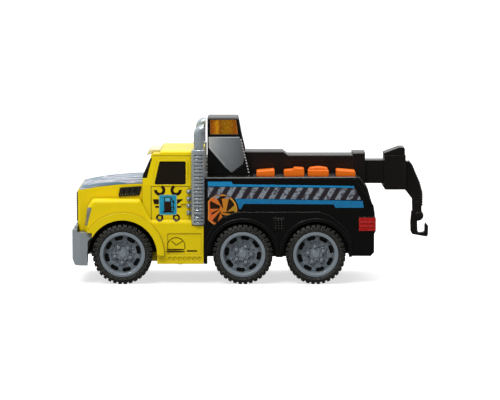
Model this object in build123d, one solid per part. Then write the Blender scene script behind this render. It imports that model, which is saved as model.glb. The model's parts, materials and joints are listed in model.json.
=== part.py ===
from build123d import *
import os

# Toy six-wheeled tow truck with light-and-sound buttons, a lifting telescopic boom and a hanging hook.
# Millimetres. +X points to the nose, +Y to the truck's left side, +Z up. The ground is Z = 0.
# The truck is drawn from a station line near the middle axle and centred by CENTRE_X on writing.

# ---- Driving dimensions -------------------------------------------------------------------------

NOSE_X = 174.8                  # front face of the bumper
TAIL_X = -178.2                 # rear of the hook's tip
CENTRE_X = (NOSE_X + TAIL_X) / 2

WALL = 2.2                      # thickness of the moulded shells
GAP = 0.15                      # clearance round an insert in its pocket
MOVING_GAP = 0.3                # clearance between pieces that move past each other

WHEEL_R = 29.3                  # over the tread lugs
AXLE_Z = WHEEL_R
AXLE_X = {"front": 125.0, "middle": 7.0, "rear": -64.5}
TYRE_FACE_Y = 56.5              # outer face of the tyres
TYRE_WIDTH = 24.0
AXLE_R = 2.0
RUNNING_FIT = 0.06              # radial clearance of a turning shaft
FRONT_WELL_R = 34.0
REAR_WELL_R = 32.5
TUB_Y = 31.4                    # inner face of the wheel wells
TUB_WALL = 1.4

HOOD_HALF = 39.0
FENDER_HALF = 54.0
CAB_HALF = 50.0
STEP_HALF = 54.0
CAB_REAR_X = 45.5
BED_HALF = 53.0
VISOR_HALF = 24.0
DECK_Z = 105.0

STACK_X = 50.8
STACK_Y = 50.5
GUARD_R = 6.8
PIPE_R = 4.9

TROUGH_HALF = 16.8              # the boom lies in a trough between the two decks
TROUGH_FLOOR_Z = 91.0

PIVOT_X = 8.0                   # boom pivot
PIVOT_Z = 112.0
PIVOT_R = 3.0
BOOM_HALF = 14.6
BOOM_END_R = 15.5
COLLAR_X = (-114.2, -101.8)
SLEEVE_HALF = 11.0              # the sliding extension, a box section
SLEEVE_Z = (95.3, 118.2)
HEAD_X = (-154.6, -133.5)

HOOK_PIVOT = (-167.9, 62.4)
HOOK_HALF = 3.2
HOOK_PIN_R = 1.8

CHASSIS_HALF = 29.4
CHASSIS_Z = (18.0, 34.0)        # from under the battery box to the tray's rim
PAN_Z = 24.0                    # underside of the floor pan, away from the battery box
POST_FOOT_Z = 29.2              # foot of the screw posts, just above the chassis bosses
CHASSIS_X = (-93.6, 157.0)
BOSS_R = 3.4
SPEAKER_X = -28.75
# Screw posts: station, distance from the centre line and height of the post's top.
CAB_POSTS = [(146.0, 22.0, 97.4), (108.0, 23.4, 100.2)]
BED_POSTS = [(27.0, 23.4, 103.6), (-86.0, 13.0, 90.0)]
SCREW_SHANK_R = 1.2
SCREW_HEAD_R = 2.6
SCREW_LENGTH = 12.0

DECK_PLATE_X = (-105.4, -3.0)
DECK_PLATE_Y = (18.9, 50.4)
BUTTON_Y = (24.0, 46.0)
BUTTON_TRAVEL = 2.0
# Each button: front and rear edge, and the height of its top at those edges.
BUTTONS = {
    "siren_button": (-6.4, -24.1, 110.4, 111.8),
    "horn_button": (-33.4, -53.1, 111.0, 112.4),
    "engine_button": (-57.1, -77.2, 111.6, 111.6),
    "voice_button": (-84.6, -103.3, 111.8, 110.4),
}


# ---- Shape helpers ------------------------------------------------------------------------------

def block(x_range, y_range, z_range):
    """Box between three pairs of limits."""
    ranges = (x_range, y_range, z_range)
    centre = [(low + high) / 2 for low, high in ranges]
    return Pos(*centre) * Box(*[abs(high - low) for low, high in ranges])


def rounded(points, radius):
    """Closed outline with every corner rounded."""
    outline = Polygon(*points, align=None)
    return fillet(outline.vertices(), radius)


def as_sketch(outline):
    """Accept a list of corners or a ready sketch."""
    if isinstance(outline, list):
        return Polygon(*outline, align=None)
    return outline


def side_prism(outline, y_range):
    """Solid with an X-Z outline, running across Y."""
    low, high = y_range
    return extrude(Plane.XZ.offset(-low) * as_sketch(outline), amount=high - low, dir=(0, 1, 0))


def front_prism(outline, x_range):
    """Solid with a Y-Z outline, running along X."""
    low, high = x_range
    return extrude(Plane.YZ.offset(low) * as_sketch(outline), amount=high - low, dir=(1, 0, 0))


def top_prism(outline, z_range):
    """Solid with an X-Y outline, standing along Z."""
    low, high = z_range
    return extrude(Plane.XY.offset(low) * as_sketch(outline), amount=high - low, dir=(0, 0, 1))


def rod_x(y, z, radius, x_range):
    """Round bar along X."""
    low, high = x_range
    return Pos((low + high) / 2, y, z) * Rot(0, 90, 0) * Cylinder(radius, high - low)


def rod_y(x, z, radius, y_range):
    """Round bar along Y."""
    low, high = y_range
    return Pos(x, (low + high) / 2, z) * Rot(90, 0, 0) * Cylinder(radius, high - low)


def rod_z(x, y, radius, z_range):
    """Round bar along Z."""
    low, high = z_range
    return Pos(x, y, (low + high) / 2) * Cylinder(radius, high - low)


def upright_cone(foot_r, top_r, height):
    """Cone standing on its foot."""
    return Cone(foot_r, top_r, height, align=(Align.CENTER, Align.CENTER, Align.MIN))


def mirrored(shape):
    """The same shape on the other side of the truck."""
    return mirror(shape, about=Plane.XZ)


def both_sides(shape):
    """A shape and its mirror image, joined."""
    return shape + mirrored(shape)


def shrunk(outline, inset):
    """An outline moved inwards by inset."""
    sketch = as_sketch(outline)
    if inset == 0:
        return sketch
    return offset(sketch, amount=-inset, kind=Kind.INTERSECTION)


# ---- Wheels and axles ---------------------------------------------------------------------------

RIM_FACE = -0.7                 # rim ring's outer face, behind the tyre's
RIM_OUTER_R = 22.4
RIM_INNER_R = 18.8
DISC_FACE = -8.0
DISC_BACK = -10.4
WEB_FACE = -12.4                # the black moulding's web, seen through the rim's slots
HUB_R = 4.6
LUGS = 34
CARCASS_R = 27.7
BOLT_CIRCLE_R = 7.9
BUMP_CIRCLE_R = 11.8
SLOT_R = 15.9


def revolved(profile):
    """Solid of revolution about Z from (radius, height) points."""
    outline = Plane.XZ * Polygon(*profile, align=None)
    return revolve(outline, axis=Axis.Z)


def tread_lug():
    """One shoulder lug: a bar with sloping ends, trimmed to the tread radius."""
    beyond = WHEEL_R + 1
    profile = [(24.6, 0.0), (27.2, -0.3), (beyond, -1.6), (beyond, -11.2), (26.5, -11.9), (24.6, -11.9)]
    bar = extrude(Plane.XZ * Polygon(*profile, align=None), amount=1.65, both=True)
    return bar & Pos(0, 0, -6) * Cylinder(WHEEL_R, 14)


def tyre():
    """Black wheel moulding: carcass, two staggered rows of lugs, web behind the rim. Outer face Z = 0."""
    depth = TYRE_WIDTH
    seat_r = RIM_OUTER_R + 0.02
    profile = [
        (seat_r, -1.4), (23.4, -0.3), (25.6, -0.5), (27.0, -1.8), (CARCASS_R, -4.0),
        (CARCASS_R, 4.0 - depth), (27.0, 1.8 - depth), (25.6, 0.5 - depth), (23.4, 0.3 - depth),
        (22.0, 1.4 - depth), (22.0, WEB_FACE - 2.0), (HUB_R + 0.1, WEB_FACE - 2.0),
        (HUB_R + 0.1, WEB_FACE), (seat_r, WEB_FACE),
    ]
    pitch = 360 / LUGS
    lug = tread_lug()
    inner_lug = Pos(0, 0, -depth) * Rot(180, 0, 0) * lug
    outer_row = [Rot(0, 0, pitch * step) * lug for step in range(LUGS)]
    inner_row = [Rot(0, 0, pitch * (step + 0.5)) * inner_lug for step in range(LUGS)]
    return revolved(profile) + outer_row + inner_row


def rim_slot():
    """One of the ventilation slots of the rim's disc, curved with the disc."""
    half_angle = 8.0
    half_width = 2.1
    start = Vector(SLOT_R, 0).rotate(Axis.Z, -half_angle)
    end = Vector(SLOT_R, 0).rotate(Axis.Z, half_angle)
    path = ThreePointArc(start, (SLOT_R, 0), end)
    outline = make_face(offset(path, amount=half_width, kind=Kind.ARC).edges())
    return Pos(0, 0, DISC_BACK - 1) * extrude(outline, amount=6, dir=(0, 0, 1))


def rim():
    """Dished wheel: barrel, disc with eight slots, lobed hub with five bolts. Outer face at RIM_FACE."""
    back = 1.2 - TYRE_WIDTH
    skirt = WEB_FACE + 0.2
    profile = [
        (0, DISC_FACE), (RIM_INNER_R - 1.2, DISC_FACE), (RIM_INNER_R, RIM_FACE - 1.0),
        (RIM_INNER_R + 0.6, RIM_FACE), (RIM_OUTER_R - 0.5, RIM_FACE), (RIM_OUTER_R, RIM_FACE - 0.5),
        (RIM_OUTER_R, skirt), (RIM_OUTER_R - 1.8, skirt), (RIM_OUTER_R - 1.8, DISC_BACK),
        (HUB_R + 0.9, DISC_BACK), (HUB_R, DISC_BACK - 1.0), (HUB_R, back), (0, back),
    ]
    wheel = revolved(profile)
    wheel -= [Rot(0, 0, 45 * step) * rim_slot() for step in range(8)]
    hub_top = DISC_FACE + 2.0
    wheel += Pos(0, 0, DISC_FACE - 0.5) * Cylinder(6.4, 2.5, align=(Align.CENTER, Align.CENTER, Align.MIN))
    lobe = Pos(BOLT_CIRCLE_R, 0, (DISC_FACE + hub_top) / 2) * Cylinder(3.2, hub_top - DISC_FACE)
    bolt = Pos(BOLT_CIRCLE_R, 0, hub_top + 0.5) * Cylinder(1.7, 3.0)
    ring = Pos(BOLT_CIRCLE_R, 0, hub_top - 0.4) * (Cylinder(2.5, 0.9) - Cylinder(1.7, 0.9))
    bump = Pos(BUMP_CIRCLE_R, 0, DISC_FACE) * Sphere(1.0)
    wheel += [Rot(0, 0, 72 * step) * lobe for step in range(5)]
    wheel -= [Rot(0, 0, 72 * step) * ring for step in range(5)]
    wheel += [Rot(0, 0, 72 * step) * bolt for step in range(5)]
    wheel += [Rot(0, 0, 22.5 * (step + 0.5)) * bump for step in range(16)]
    wheel += Pos(0, 0, hub_top + 0.3) * Cone(4.4, 3.4, 1.2)
    bore_depth = 11.0
    return wheel - Pos(0, 0, back + bore_depth / 2) * Cylinder(AXLE_R + 0.02, bore_depth)


def on_axle(shape, axle, clocking):
    """Place a wheel piece at the left end of an axle, turned by clocking degrees."""
    return Pos(AXLE_X[axle], TYRE_FACE_Y, AXLE_Z) * Rot(-90, 0, 0) * Rot(0, 0, clocking) * shape


def axle_rod(axle):
    """Steel axle, ending inside both hubs."""
    half = TYRE_FACE_Y - TYRE_WIDTH + 11.5
    return rod_y(AXLE_X[axle], AXLE_Z, AXLE_R, (-half, half))


# ---- Cab ----------------------------------------------------------------------------------------

CAB_BASE_Z = 19.9               # lower edge of the steps and fenders
ARCH_LIP_R = 41.0
ARCH_FOOT_Z = 28.5              # lower ends of the lips round the wheel openings
GRILLE_HALF = 31.2
GRILLE_Z = (57.0, 91.2)
BAR_PITCH = 2.4


def hood_form(inset, base):
    """Hood: arched crown, rounded shoulders, upright nose."""
    crown = ThreePointArc((167.6, 94.6), (138, 99.7), (98, 101.8))
    rest = Polyline((98, 101.8), (98, base), (165, base), (169.6, 58), (169.6, 91.4), (167.6, 94.6))
    outline = make_face([crown, rest])
    half = HOOD_HALF - inset
    hood = side_prism(shrunk(outline, inset), (-half, half))
    shoulders = hood.edges().filter_by(GeomType.CIRCLE)
    hood = fillet(shoulders, 5.0 - inset)
    if inset == 0:
        hood = fillet(hood.edges().filter_by(Axis.Z).group_by(Axis.X)[-1], 3.0)
    return hood


def skirt_outline(base):
    """Side outline of the fenders and steps: flat-topped fender, a soft S down to the step's ledge."""
    corners = [
        (CAB_REAR_X, base), (160, base), (163.5, 50), (158.8, 76.5), (154.6, 83.4), (107.5, 83.4),
        (97.0, 63.4), (CAB_REAR_X, 63.4),
    ]
    outline = Polygon(*corners, align=None)
    ridge = outline.vertices().filter_by(lambda corner: corner.Y > 80 or abs(corner.X - 97.0) < 0.1)
    return fillet(ridge, 4.5)


def skirt_form(inset, base):
    """Front fenders and side steps, flared out beyond the hood and doors; its nose is raked in plan."""
    half = FENDER_HALF - inset
    nose = 159.5 - inset
    rear = CAB_REAR_X - 5
    plan = [(rear, -half), (nose, -half), (nose + 4.5, -40), (nose + 4.5, 40), (nose, half), (rear, half)]
    body = side_prism(shrunk(skirt_outline(base), inset), (-half, half)) & top_prism(plan, (base - 1, 90))
    if inset > 0:
        return body
    outer = [edge for edge in body.edges() if abs(abs(edge.center().Y) - half) < 0.01]
    upper = [edge for edge in outer if edge.center().Z > 60 and CAB_REAR_X + 1 < edge.center().X < 156]
    return fillet(upper, 4.4)


def cab_form(inset, base):
    """Cab: upright doors, leaning windscreen and pillars, domed roof with a ledge for the sun visor."""
    side = [
        (CAB_REAR_X, base), (105.2, base), (105.2, 106.5), (97.3, 124.2), (97.5, 125.2), (94.9, 128.0),
        (88.2, 128.0), (88.2, 129.7), (86.4, 131.0), (58, 131.0), (CAB_REAR_X, 130.0),
    ]
    front = [
        (-CAB_HALF, base - 5), (CAB_HALF, base - 5), (CAB_HALF, 97), (47.6, 125.2), (46.8, 129.0),
        (44.0, 130.6), (39, 131.4), (-39, 131.4), (-44.0, 130.6), (-46.8, 129.0), (-47.6, 125.2),
        (-CAB_HALF, 97),
    ]
    body = side_prism(shrunk(side, inset), (-CAB_HALF, CAB_HALF))
    return body & front_prism(shrunk(front, inset), (CAB_REAR_X - 5, 110))


def arch_ring(axle, well_r, outer_r, y_range):
    """Raised lip round a wheel opening."""
    x = AXLE_X[axle]
    ring = rod_y(x, AXLE_Z, outer_r, y_range) - rod_y(x, AXLE_Z, well_r, y_range)
    return ring & block((x - 60, x + 60), y_range, (ARCH_FOOT_Z, 90))


def wheel_tub(axle, well_r):
    """Solid that holds the walls of one wheel well."""
    outer = BED_HALF - 0.5
    return rod_y(AXLE_X[axle], AXLE_Z, well_r + TUB_WALL, (TUB_Y - TUB_WALL, outer))


def wheel_well(axle, well_r):
    """Space for one wheel, open to the side and below, with a slot for the axle."""
    x = AXLE_X[axle]
    well = rod_y(x, AXLE_Z, well_r, (TUB_Y, 70))
    well += block((x - well_r, x + well_r), (TUB_Y, 70), (-5, AXLE_Z))
    well += block((x - 5, x + 5), (TUB_Y - TUB_WALL - 1, 70), (-5, AXLE_Z + 5))
    return well


def windscreen_zone(shift):
    """Side outline ahead of the front pillars, between the cowl and the visor."""
    low_z, high_z = 104.2 + shift, 123.4 - shift
    return [(96.0 + shift, high_z), (100.9 + shift, low_z), (115, low_z), (115, high_z)]


def window_outline(grow):
    """Side window: upright rear edge, raked front edge."""
    corners = [(62.9, 97.8), (93.7, 97.8), (88.6, 120.4), (62.9, 120.4)]
    return offset(rounded(corners, 1.6), amount=grow) if grow else rounded(corners, 1.6)


def hood_vent_outline(grow):
    """Raked four-sided vent on the side of the hood."""
    corners = [(129.6, 84.9), (127.8, 93.6), (106.4, 95.2), (108.9, 86.0)]
    return offset(rounded(corners, 1.0), amount=grow) if grow else rounded(corners, 1.0)


def headlight_zone(shift):
    """Side outline of the fender's front corner, where the lamp wraps round it."""
    low_z, high_z = 57.2 + shift, 75.4 - shift
    return [(154.9 + shift, high_z), (159.6 + shift, low_z), (175, low_z), (175, high_z)]


def cab_surface(inset, base):
    """Whole yellow body form at a given depth below its skin."""
    return hood_form(inset, base) + skirt_form(inset, base) + cab_form(inset, base)


def stack_notch(grow):
    """Room for the exhaust stack in the cab's rear corner."""
    return rod_z(STACK_X, STACK_Y, GUARD_R + grow, (57.5, 150))


def bumper_zone():
    """Everything ahead of and below the bumper's top edge."""
    return [(154.8, 50.9), (169.35, 50.9), (169.35, 57.3), (182, 57.3), (182, 5), (154.8, 5)]


def grille_pocket():
    """Opening in the nose for the grille."""
    return block((166, 180), (-GRILLE_HALF, GRILLE_HALF), GRILLE_Z)


def cab_details():
    """Grooves and recesses cut into the left side of the cab."""
    skin_y = CAB_HALF
    cuts = block((96.2, 97.2), (skin_y - 0.7, 60), (62.9, 96))
    cuts += block((59.2, 60.0), (skin_y - 0.7, 60), (62.9, 96))
    cuts += block((59.2, 97.2), (skin_y - 0.7, 60), (95.4, 96.2))
    cuts += block((62.8, 67.6), (skin_y - 1.1, 60), (75.0, 78.6))
    step_panel = rounded([(47.4, 29), (81, 29), (81, 50.2), (47.4, 50.2)], 1.2)
    cuts += side_prism(step_panel, (STEP_HALF - 0.9, 60))
    cuts += [rod_y(49.6 + 4.8 * step, 25.0, 2.1, (STEP_HALF - 0.8, 60)) for step in range(7)]
    cuts += block((56, 97), (skin_y - 3, 60), (125.2, 126.2)) & cab_form(-2, 90) - cab_form(0.8, 60)
    return cuts


def with_posts(body, posts):
    """Add the screw posts on both sides, each with its pilot hole."""
    for x, y, top in posts:
        for side in (-1, 1):
            body += rod_z(x, side * y, BOSS_R, (POST_FOOT_Z, top))
            body -= rod_z(x, side * y, SCREW_SHANK_R + 0.05, (24, 40))
    return body


def chassis_room():
    """Notch in the walls between cab and bed, where the chassis runs through."""
    half = CHASSIS_HALF + MOVING_GAP
    return block((CAB_REAR_X - 3, CAB_REAR_X + 3), (-half, half), (10, CHASSIS_Z[1] + MOVING_GAP))


def cab_shell():
    """Yellow body moulding: hood, fenders, cab and side steps in one open-bottomed shell."""
    base = CAB_BASE_Z
    body = cab_surface(0, base)
    body += both_sides(arch_ring("front", FRONT_WELL_R, ARCH_LIP_R, (STEP_HALF - 6, 58)))
    frame = side_prism(window_outline(2.0), (44, 60)) & (cab_form(-0.8, base) - cab_form(0.6, base))
    body += both_sides(frame)
    hollow = cab_surface(WALL, base - 10)
    hollow -= both_sides(wheel_tub("front", FRONT_WELL_R))
    hollow -= both_sides(stack_notch(WALL))
    body -= hollow
    body -= chassis_room()
    body = with_posts(body, CAB_POSTS)
    body -= both_sides(wheel_well("front", FRONT_WELL_R))
    body -= both_sides(stack_notch(GAP))
    body -= side_prism(bumper_zone(), (-70, 70))
    body -= grille_pocket()
    body -= side_prism(windscreen_zone(0), (-70, 70))
    body -= both_sides(side_prism(window_outline(0), (42, 60)))
    body -= both_sides(side_prism(hood_vent_outline(0), (HOOD_HALF - 4, 45)))
    body -= both_sides(side_prism(headlight_zone(0), (41, 60)))
    body -= both_sides(cab_details())
    return body


def shell_insert(zone, y_range, inset_out, inset_in):
    """Panel let into the cab: the skin between two depths, inside a side outline."""
    panel = cab_surface(inset_out, CAB_BASE_Z) - cab_surface(inset_in, CAB_BASE_Z - 10)
    return panel & side_prism(zone, y_range)


def windscreen():
    """Tinted windscreen, wrapping round to the pillars."""
    return shell_insert(windscreen_zone(GAP), (-60, 60), 0, WALL)


def side_window():
    """Left door glass, just below the level of its frame."""
    return shell_insert(window_outline(-GAP), (40, 60), 0.3, WALL)


def headlight():
    """Left headlight, wrapping round the fender's front corner."""
    return shell_insert(headlight_zone(GAP), (41 + GAP, 60), 0, 2.0)


def hood_vent():
    """Left hood vent with three raked slots."""
    vent = side_prism(hood_vent_outline(-GAP), (HOOD_HALF - 2.4, HOOD_HALF + 1.0))
    slot_outline = [(124.6, 85.0), (126.4, 85.0), (123.4, 93.6), (121.6, 93.6)]
    slot = side_prism(slot_outline, (HOOD_HALF - 0.6, HOOD_HALF + 2))
    inside = side_prism(hood_vent_outline(-1.4), (HOOD_HALF - 3, HOOD_HALF + 2))
    return vent - [(Pos(-5.2 * step, 0, 0) * slot) & inside for step in range(3)]


def sun_visor():
    """Narrow visor over the windscreen: a strip on the roof's ledge and a raked peak."""
    outline = [
        (88.4, 128.2), (95.1, 128.2), (97.9, 125.2), (101.9, 124.4), (101.4, 126.4), (99.6, 128.9),
        (97.6, 129.9), (88.4, 129.9),
    ]
    return side_prism(outline, (-VISOR_HALF, VISOR_HALF))


def grille():
    """Black grille with level bars proud of the nose."""
    half = GRILLE_HALF - GAP
    panel = block((166.4, 169.3), (-half, half), (GRILLE_Z[0] + 0.4, GRILLE_Z[1] - GAP))
    frame = panel - block((168.2, 171), (-half + 2, half - 2), (59.4, 89))
    bar = block((168, 171.4), (-half + 0.5, half - 0.5), (60.0, 61.4))
    bars = [Pos(0, 0, BAR_PITCH * step) * bar for step in range(12)]
    posts = [block((168, 169.8), (y - 0.8, y + 0.8), (59, 90)) for y in (-15.5, 0, 15.5)]
    return frame + bars + posts


def front_bumper():
    """Hollow bumper with side returns that follow the front wheel openings."""
    outline = [
        (172.2, 18.3), (NOSE_X, 24.0), (NOSE_X, 52.6), (171.6, 53.4), (171.6, 57.1), (169.5, 57.1),
        (169.5, 50.7), (154.9, 50.7), (154.9, 46.6), (159.2, 42.0), (159.2, 18.3),
    ]
    half = FENDER_HALF + 0.5
    plan = [(150, -half), (167, -half), (NOSE_X, -46), (NOSE_X, 46), (167, half), (150, half)]
    bumper = side_prism(outline, (-half, half)) & top_prism(fillet(as_sketch(plan).vertices(), 3), (10, 70))
    inner = [(150, 5), (169.2, 5), (171.0, 24.0), (171.0, 48.2), (150, 48.2)]
    inner_half = half - 2.4
    inner_plan = [
        (140, -inner_half), (165.6, -inner_half), (172, -44.6),
        (172, 44.6), (165.6, inner_half), (140, inner_half),
    ]
    bumper -= side_prism(inner, (-inner_half, inner_half)) & top_prism(inner_plan, (0, 70))
    bumper += both_sides(block((160, 170), (32, 33.6), (19, 49)))
    bumper -= rod_y(AXLE_X["front"], AXLE_Z, FRONT_WELL_R + 0.6, (-70, 70))
    bumper -= block((150, 170), (-31.8, 31.8), (5, 48.2))
    bumper -= block((173.6, 180), (-34, 34), (38, 46))
    bumper -= both_sides(block((170.2, 171.0), (half - 0.7, half + 2), (31, 51)))
    return bumper


def exhaust_stack():
    """Left exhaust stack: louvred guard, pipe with a short elbow facing back, and a strip of four studs."""
    guard_z = (58.2, 132.2)
    pipe_top = 147.0
    bend_r = 5.0
    stack = rod_z(STACK_X, STACK_Y, GUARD_R, guard_z)
    stack = chamfer(stack.edges().filter_by(GeomType.CIRCLE), 0.8)
    pipe_x = STACK_X - 0.7
    stack += rod_z(pipe_x, STACK_Y, PIPE_R, (guard_z[0], pipe_top))
    mouth_x = pipe_x - bend_r
    section = Plane(origin=(pipe_x, STACK_Y, pipe_top), x_dir=(1, 0, 0), z_dir=(0, 0, 1)) * Circle(PIPE_R)
    bend_axis = Axis((mouth_x, STACK_Y, pipe_top), (0, -1, 0))
    stack += revolve(section, axis=bend_axis, revolution_arc=90)
    stack -= rod_x(STACK_Y, pipe_top + bend_r, PIPE_R - 1.1, (mouth_x - 1, mouth_x + 4))
    pitch = 3.43
    louvre = block((STACK_X - 4.9, STACK_X + 3.9), (STACK_Y + 2, STACK_Y + 9), (0, 1.3))
    shallow = louvre - rod_z(STACK_X, STACK_Y, GUARD_R - 0.8, (-1, 5))
    stack -= [Pos(0, 0, 61.0 + pitch * step) * shallow for step in range(20)]
    tab = block((STACK_X + 5, 62.0), (49.2, 51.2), (68.2, 72.0))
    stud = Pos(60.1, 51.2, 70.1) * Sphere(1.7)
    outside = block((50, 70), (CAB_HALF + 0.1, 60), (60, 100))
    return stack + [Pos(0, 0, 6.9 * step) * (piece & outside) for step in range(4) for piece in (tab, stud)]


# ---- Bed ----------------------------------------------------------------------------------------

def bed_form(inset, base):
    """Rear body: level deck, raked tail, tail bumper."""
    side = [
        (CAB_REAR_X - 0.3, base), (CAB_REAR_X - 0.3, DECK_Z), (-103.3, DECK_Z + 0.6),
        (-107.5, DECK_Z), (-115.2, 94.2), (-119, 81), (-121.6, 74.7), (-122.3, 68.5),
        (-123.3, 52.1), (-121.8, 49.4), (-121.8, 31.3),
        (-118.4, 27.6), (-93, 27.6), (-93, base),
    ]
    half = BED_HALF - inset
    body = side_prism(shrunk(side, inset), (-half, half))
    if inset == 0:
        outer = [edge for edge in body.edges() if abs(abs(edge.center().Y) - half) < 0.01]
        upper = [edge for edge in outer if edge.center().Z > 75 and edge.center().X < CAB_REAR_X - 5]
        body = chamfer(upper, 0.9)
    return body


def flare_outline():
    """Raised panel round both rear wheels: follows the wheels at each end, level between them."""
    return [
        (44.8, 27), (44.6, 40), (42.6, 46), (37.2, 55.7), (27.4, 65.4), (14.7, 70.2), (9.8, 71.0),
        (-68.4, 71.0), (-78.2, 67.6), (-92.9, 55.7), (-98.8, 45.9), (-99.8, 40), (-99.8, 27),
    ]


# Raised strip down the raked tail.
TAIL_TRIM = [
    (-101.2, 103.2), (-103.0, 103.6), (-116.2, 85.3), (-121.4, 76.6), (-120.4, 74.9), (-114.6, 84.0),
]
SKIRT_FOOT_Z = 26.4             # underside of the bed's outer skirts, between and behind the wheels


def skirt_trim():
    """What is cut off below the left outer skirt; the wall behind the cab's step keeps its full depth."""
    trim = block((-95, 41.8), (29.6, 70), (10, SKIRT_FOOT_Z))
    return trim + block((36, 41.8), (TUB_Y, 70), (10, 31))


def boom_trough(grow, x_low):
    """Space for the boom, between the decks."""
    half = TROUGH_HALF + grow
    return block((x_low, 25.6 + grow), (-half, half), (TROUGH_FLOOR_Z - grow, DECK_Z + 10))


def deck_well(grow):
    """Recess for the left deck plate."""
    rear, front = DECK_PLATE_X
    inner, outer = DECK_PLATE_Y
    return block((rear - grow, front + grow), (inner, outer + grow), (DECK_Z - 1.9, DECK_Z + 5))


def deck_opening():
    """Opening through the left deck under the plate, for the buttons."""
    return block((-105.0, -4.0), (21.4, 47.6), (90, DECK_Z))


def tail_light_block(grow):
    """Left tail light, let into the corner."""
    low, high = -grow, grow
    return block((-123.3 + low, -106.8 + high), (49.6 + low, 54.0 + high), (52.6 + low, 65.4 + high))


def bed_shell():
    """Black rear body moulding with wheel wells, boom trough and screw posts, open below."""
    base = 19.8
    body = bed_form(0, base)
    body += both_sides(side_prism(flare_outline(), (BED_HALF - 3, 55.4)))
    for axle in ("middle", "rear"):
        body += both_sides(arch_ring(axle, REAR_WELL_R, REAR_WELL_R + 3.0, (BED_HALF - 3, 57.4)))
    body += both_sides(block((-33.4, -22.6), (50, 56.2), (53, 65.4)))
    hollow = bed_form(WALL, base - 10)
    hollow += block((-94, CAB_REAR_X - 2.5), (-CHASSIS_HALF - 0.3, CHASSIS_HALF + 0.3), (10, 60))
    for axle in ("middle", "rear"):
        hollow -= both_sides(wheel_tub(axle, REAR_WELL_R))
    hollow -= boom_trough(2.0, -130)
    hollow -= both_sides(block((-106, -1), (16, 53), (DECK_Z - 3.9, DECK_Z)))
    body -= hollow
    body -= chassis_room()
    body = with_posts(body, BED_POSTS)
    for axle in ("middle", "rear"):
        body -= both_sides(wheel_well(axle, REAR_WELL_R))
    body -= boom_trough(0, -130)
    body -= deck_well(GAP)
    body -= mirrored(deck_well(GAP))
    body -= deck_opening()
    body -= both_sides(stack_notch(0.3))
    body -= both_sides(tail_light_block(0.1))
    body -= both_sides(block((-124, -106), (BED_HALF - 0.8, 60), (66.6, 68.2)))
    body -= [block((-125, -119.5), (y - 9, y + 9), (34, 46)) for y in (-32, 32)]
    body -= rod_z(30.0, 0, 6.0, (80, DECK_Z + 1))
    body -= both_sides(skirt_trim())
    body += both_sides(side_prism(TAIL_TRIM, (BED_HALF - 1, BED_HALF + 0.8)))
    rivets = [(-31.0 + 3.0 * column, 55.4 + 2.6 * row) for column in range(3) for row in range(4)]
    body += both_sides(Part() + [Pos(x, 56.2, z) * Sphere(0.6) for x, z in rivets])
    return body


def button_slot(name, grow):
    """Plan rectangle of one button, as a block through the deck plate."""
    front, rear, _, _ = BUTTONS[name]
    low_y, high_y = BUTTON_Y
    return block((rear - grow, front + grow), (low_y - grow, high_y + grow), (DECK_Z - 3, DECK_Z + 2))


def deck_plate(has_buttons):
    """Deck plate with raised diamond treads; the left one has the four button openings."""
    top = DECK_Z + 0.1
    plate = block(DECK_PLATE_X, DECK_PLATE_Y, (DECK_Z - 1.9, top))
    pitch = 6.4
    tread = Pos(0, 0, top) * extrude(Rot(0, 0, 45) * Rectangle(3.4, 1.0), amount=0.35)
    tread_back = Pos(0, 0, top) * extrude(Rot(0, 0, -45) * Rectangle(3.4, 1.0), amount=0.35)
    rows = [22.0, 28.4, 34.8, 41.2, 47.6]
    if has_buttons:
        rows = [21.2, 48.7]
    treads = []
    for row, y in enumerate(rows):
        for column in range(15):
            diamond = tread if (row + column) % 2 else tread_back
            treads.append(Pos(-7.5 - pitch * column, y, 0) * diamond)
    plate += treads
    if has_buttons:
        plate -= [button_slot(name, MOVING_GAP) for name in BUTTONS]
        return plate
    return mirrored(plate)


def deck_button(name):
    """Push button: sloping cap above the deck, flange below it."""
    front, rear, front_top, rear_top = BUTTONS[name]
    low_y, high_y = BUTTON_Y
    foot = 99.6
    top = [(front, front_top), (rear, rear_top)]
    if name == "horn_button":
        middle = (front + rear) / 2
        top = [(front, 110.6), (middle + 1.2, 111.4), (middle - 0.4, 113.2), (rear, 112.6)]
    outline = [(front, foot)] + top + [(rear, foot)]
    cap = side_prism(outline, (low_y, high_y))
    top_edges = cap.edges().filter_by(lambda edge: edge.center().Z > 109 and edge.length > 12)
    cap = fillet(top_edges, 1.2)
    if name == "engine_button":
        middle = (front + rear) / 2
        dome_r = 34.0
        dome = rod_y(middle, 113.8 - dome_r, dome_r, (low_y + 1.5, high_y - 1.5))
        cap += dome & block((rear + 1.2, front - 1.2), (low_y, high_y), (108, 116))
    flange = block((rear - 1.4, front + 1.4), (low_y - 1.4, high_y + 1.4), (99.0, 101.2))
    return cap + flange


def button_pad():
    """Silicone pad with one hollow dome under each button, clear of the button's travel."""
    pad = block((-105.0, -4.5), (22.4, 47.0), (93.4, 94.8))
    for name in BUTTONS:
        front, rear, _, _ = BUTTONS[name]
        middle = (front + rear) / 2
        pad += Pos(middle, 35, 94.7) * upright_cone(5.2, 3.2, 2.0)
        pad -= Pos(middle, 35, 93.3) * upright_cone(4.0, 2.4, 2.4)
    return pad


def circuit_board():
    """Sound board under the pad, with its chip blob and two capacitors."""
    board = block((-105.0, -4.5), (21.6, 47.6), (91.8, 93.4))
    board += Pos(-45, 34, 90.9) * Cylinder(6.0, 1.8)
    board += [rod_z(-20, 30, 2.5, (84.0, 92.0)), rod_z(-20, 38, 2.5, (84.0, 92.0))]
    return board


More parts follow.
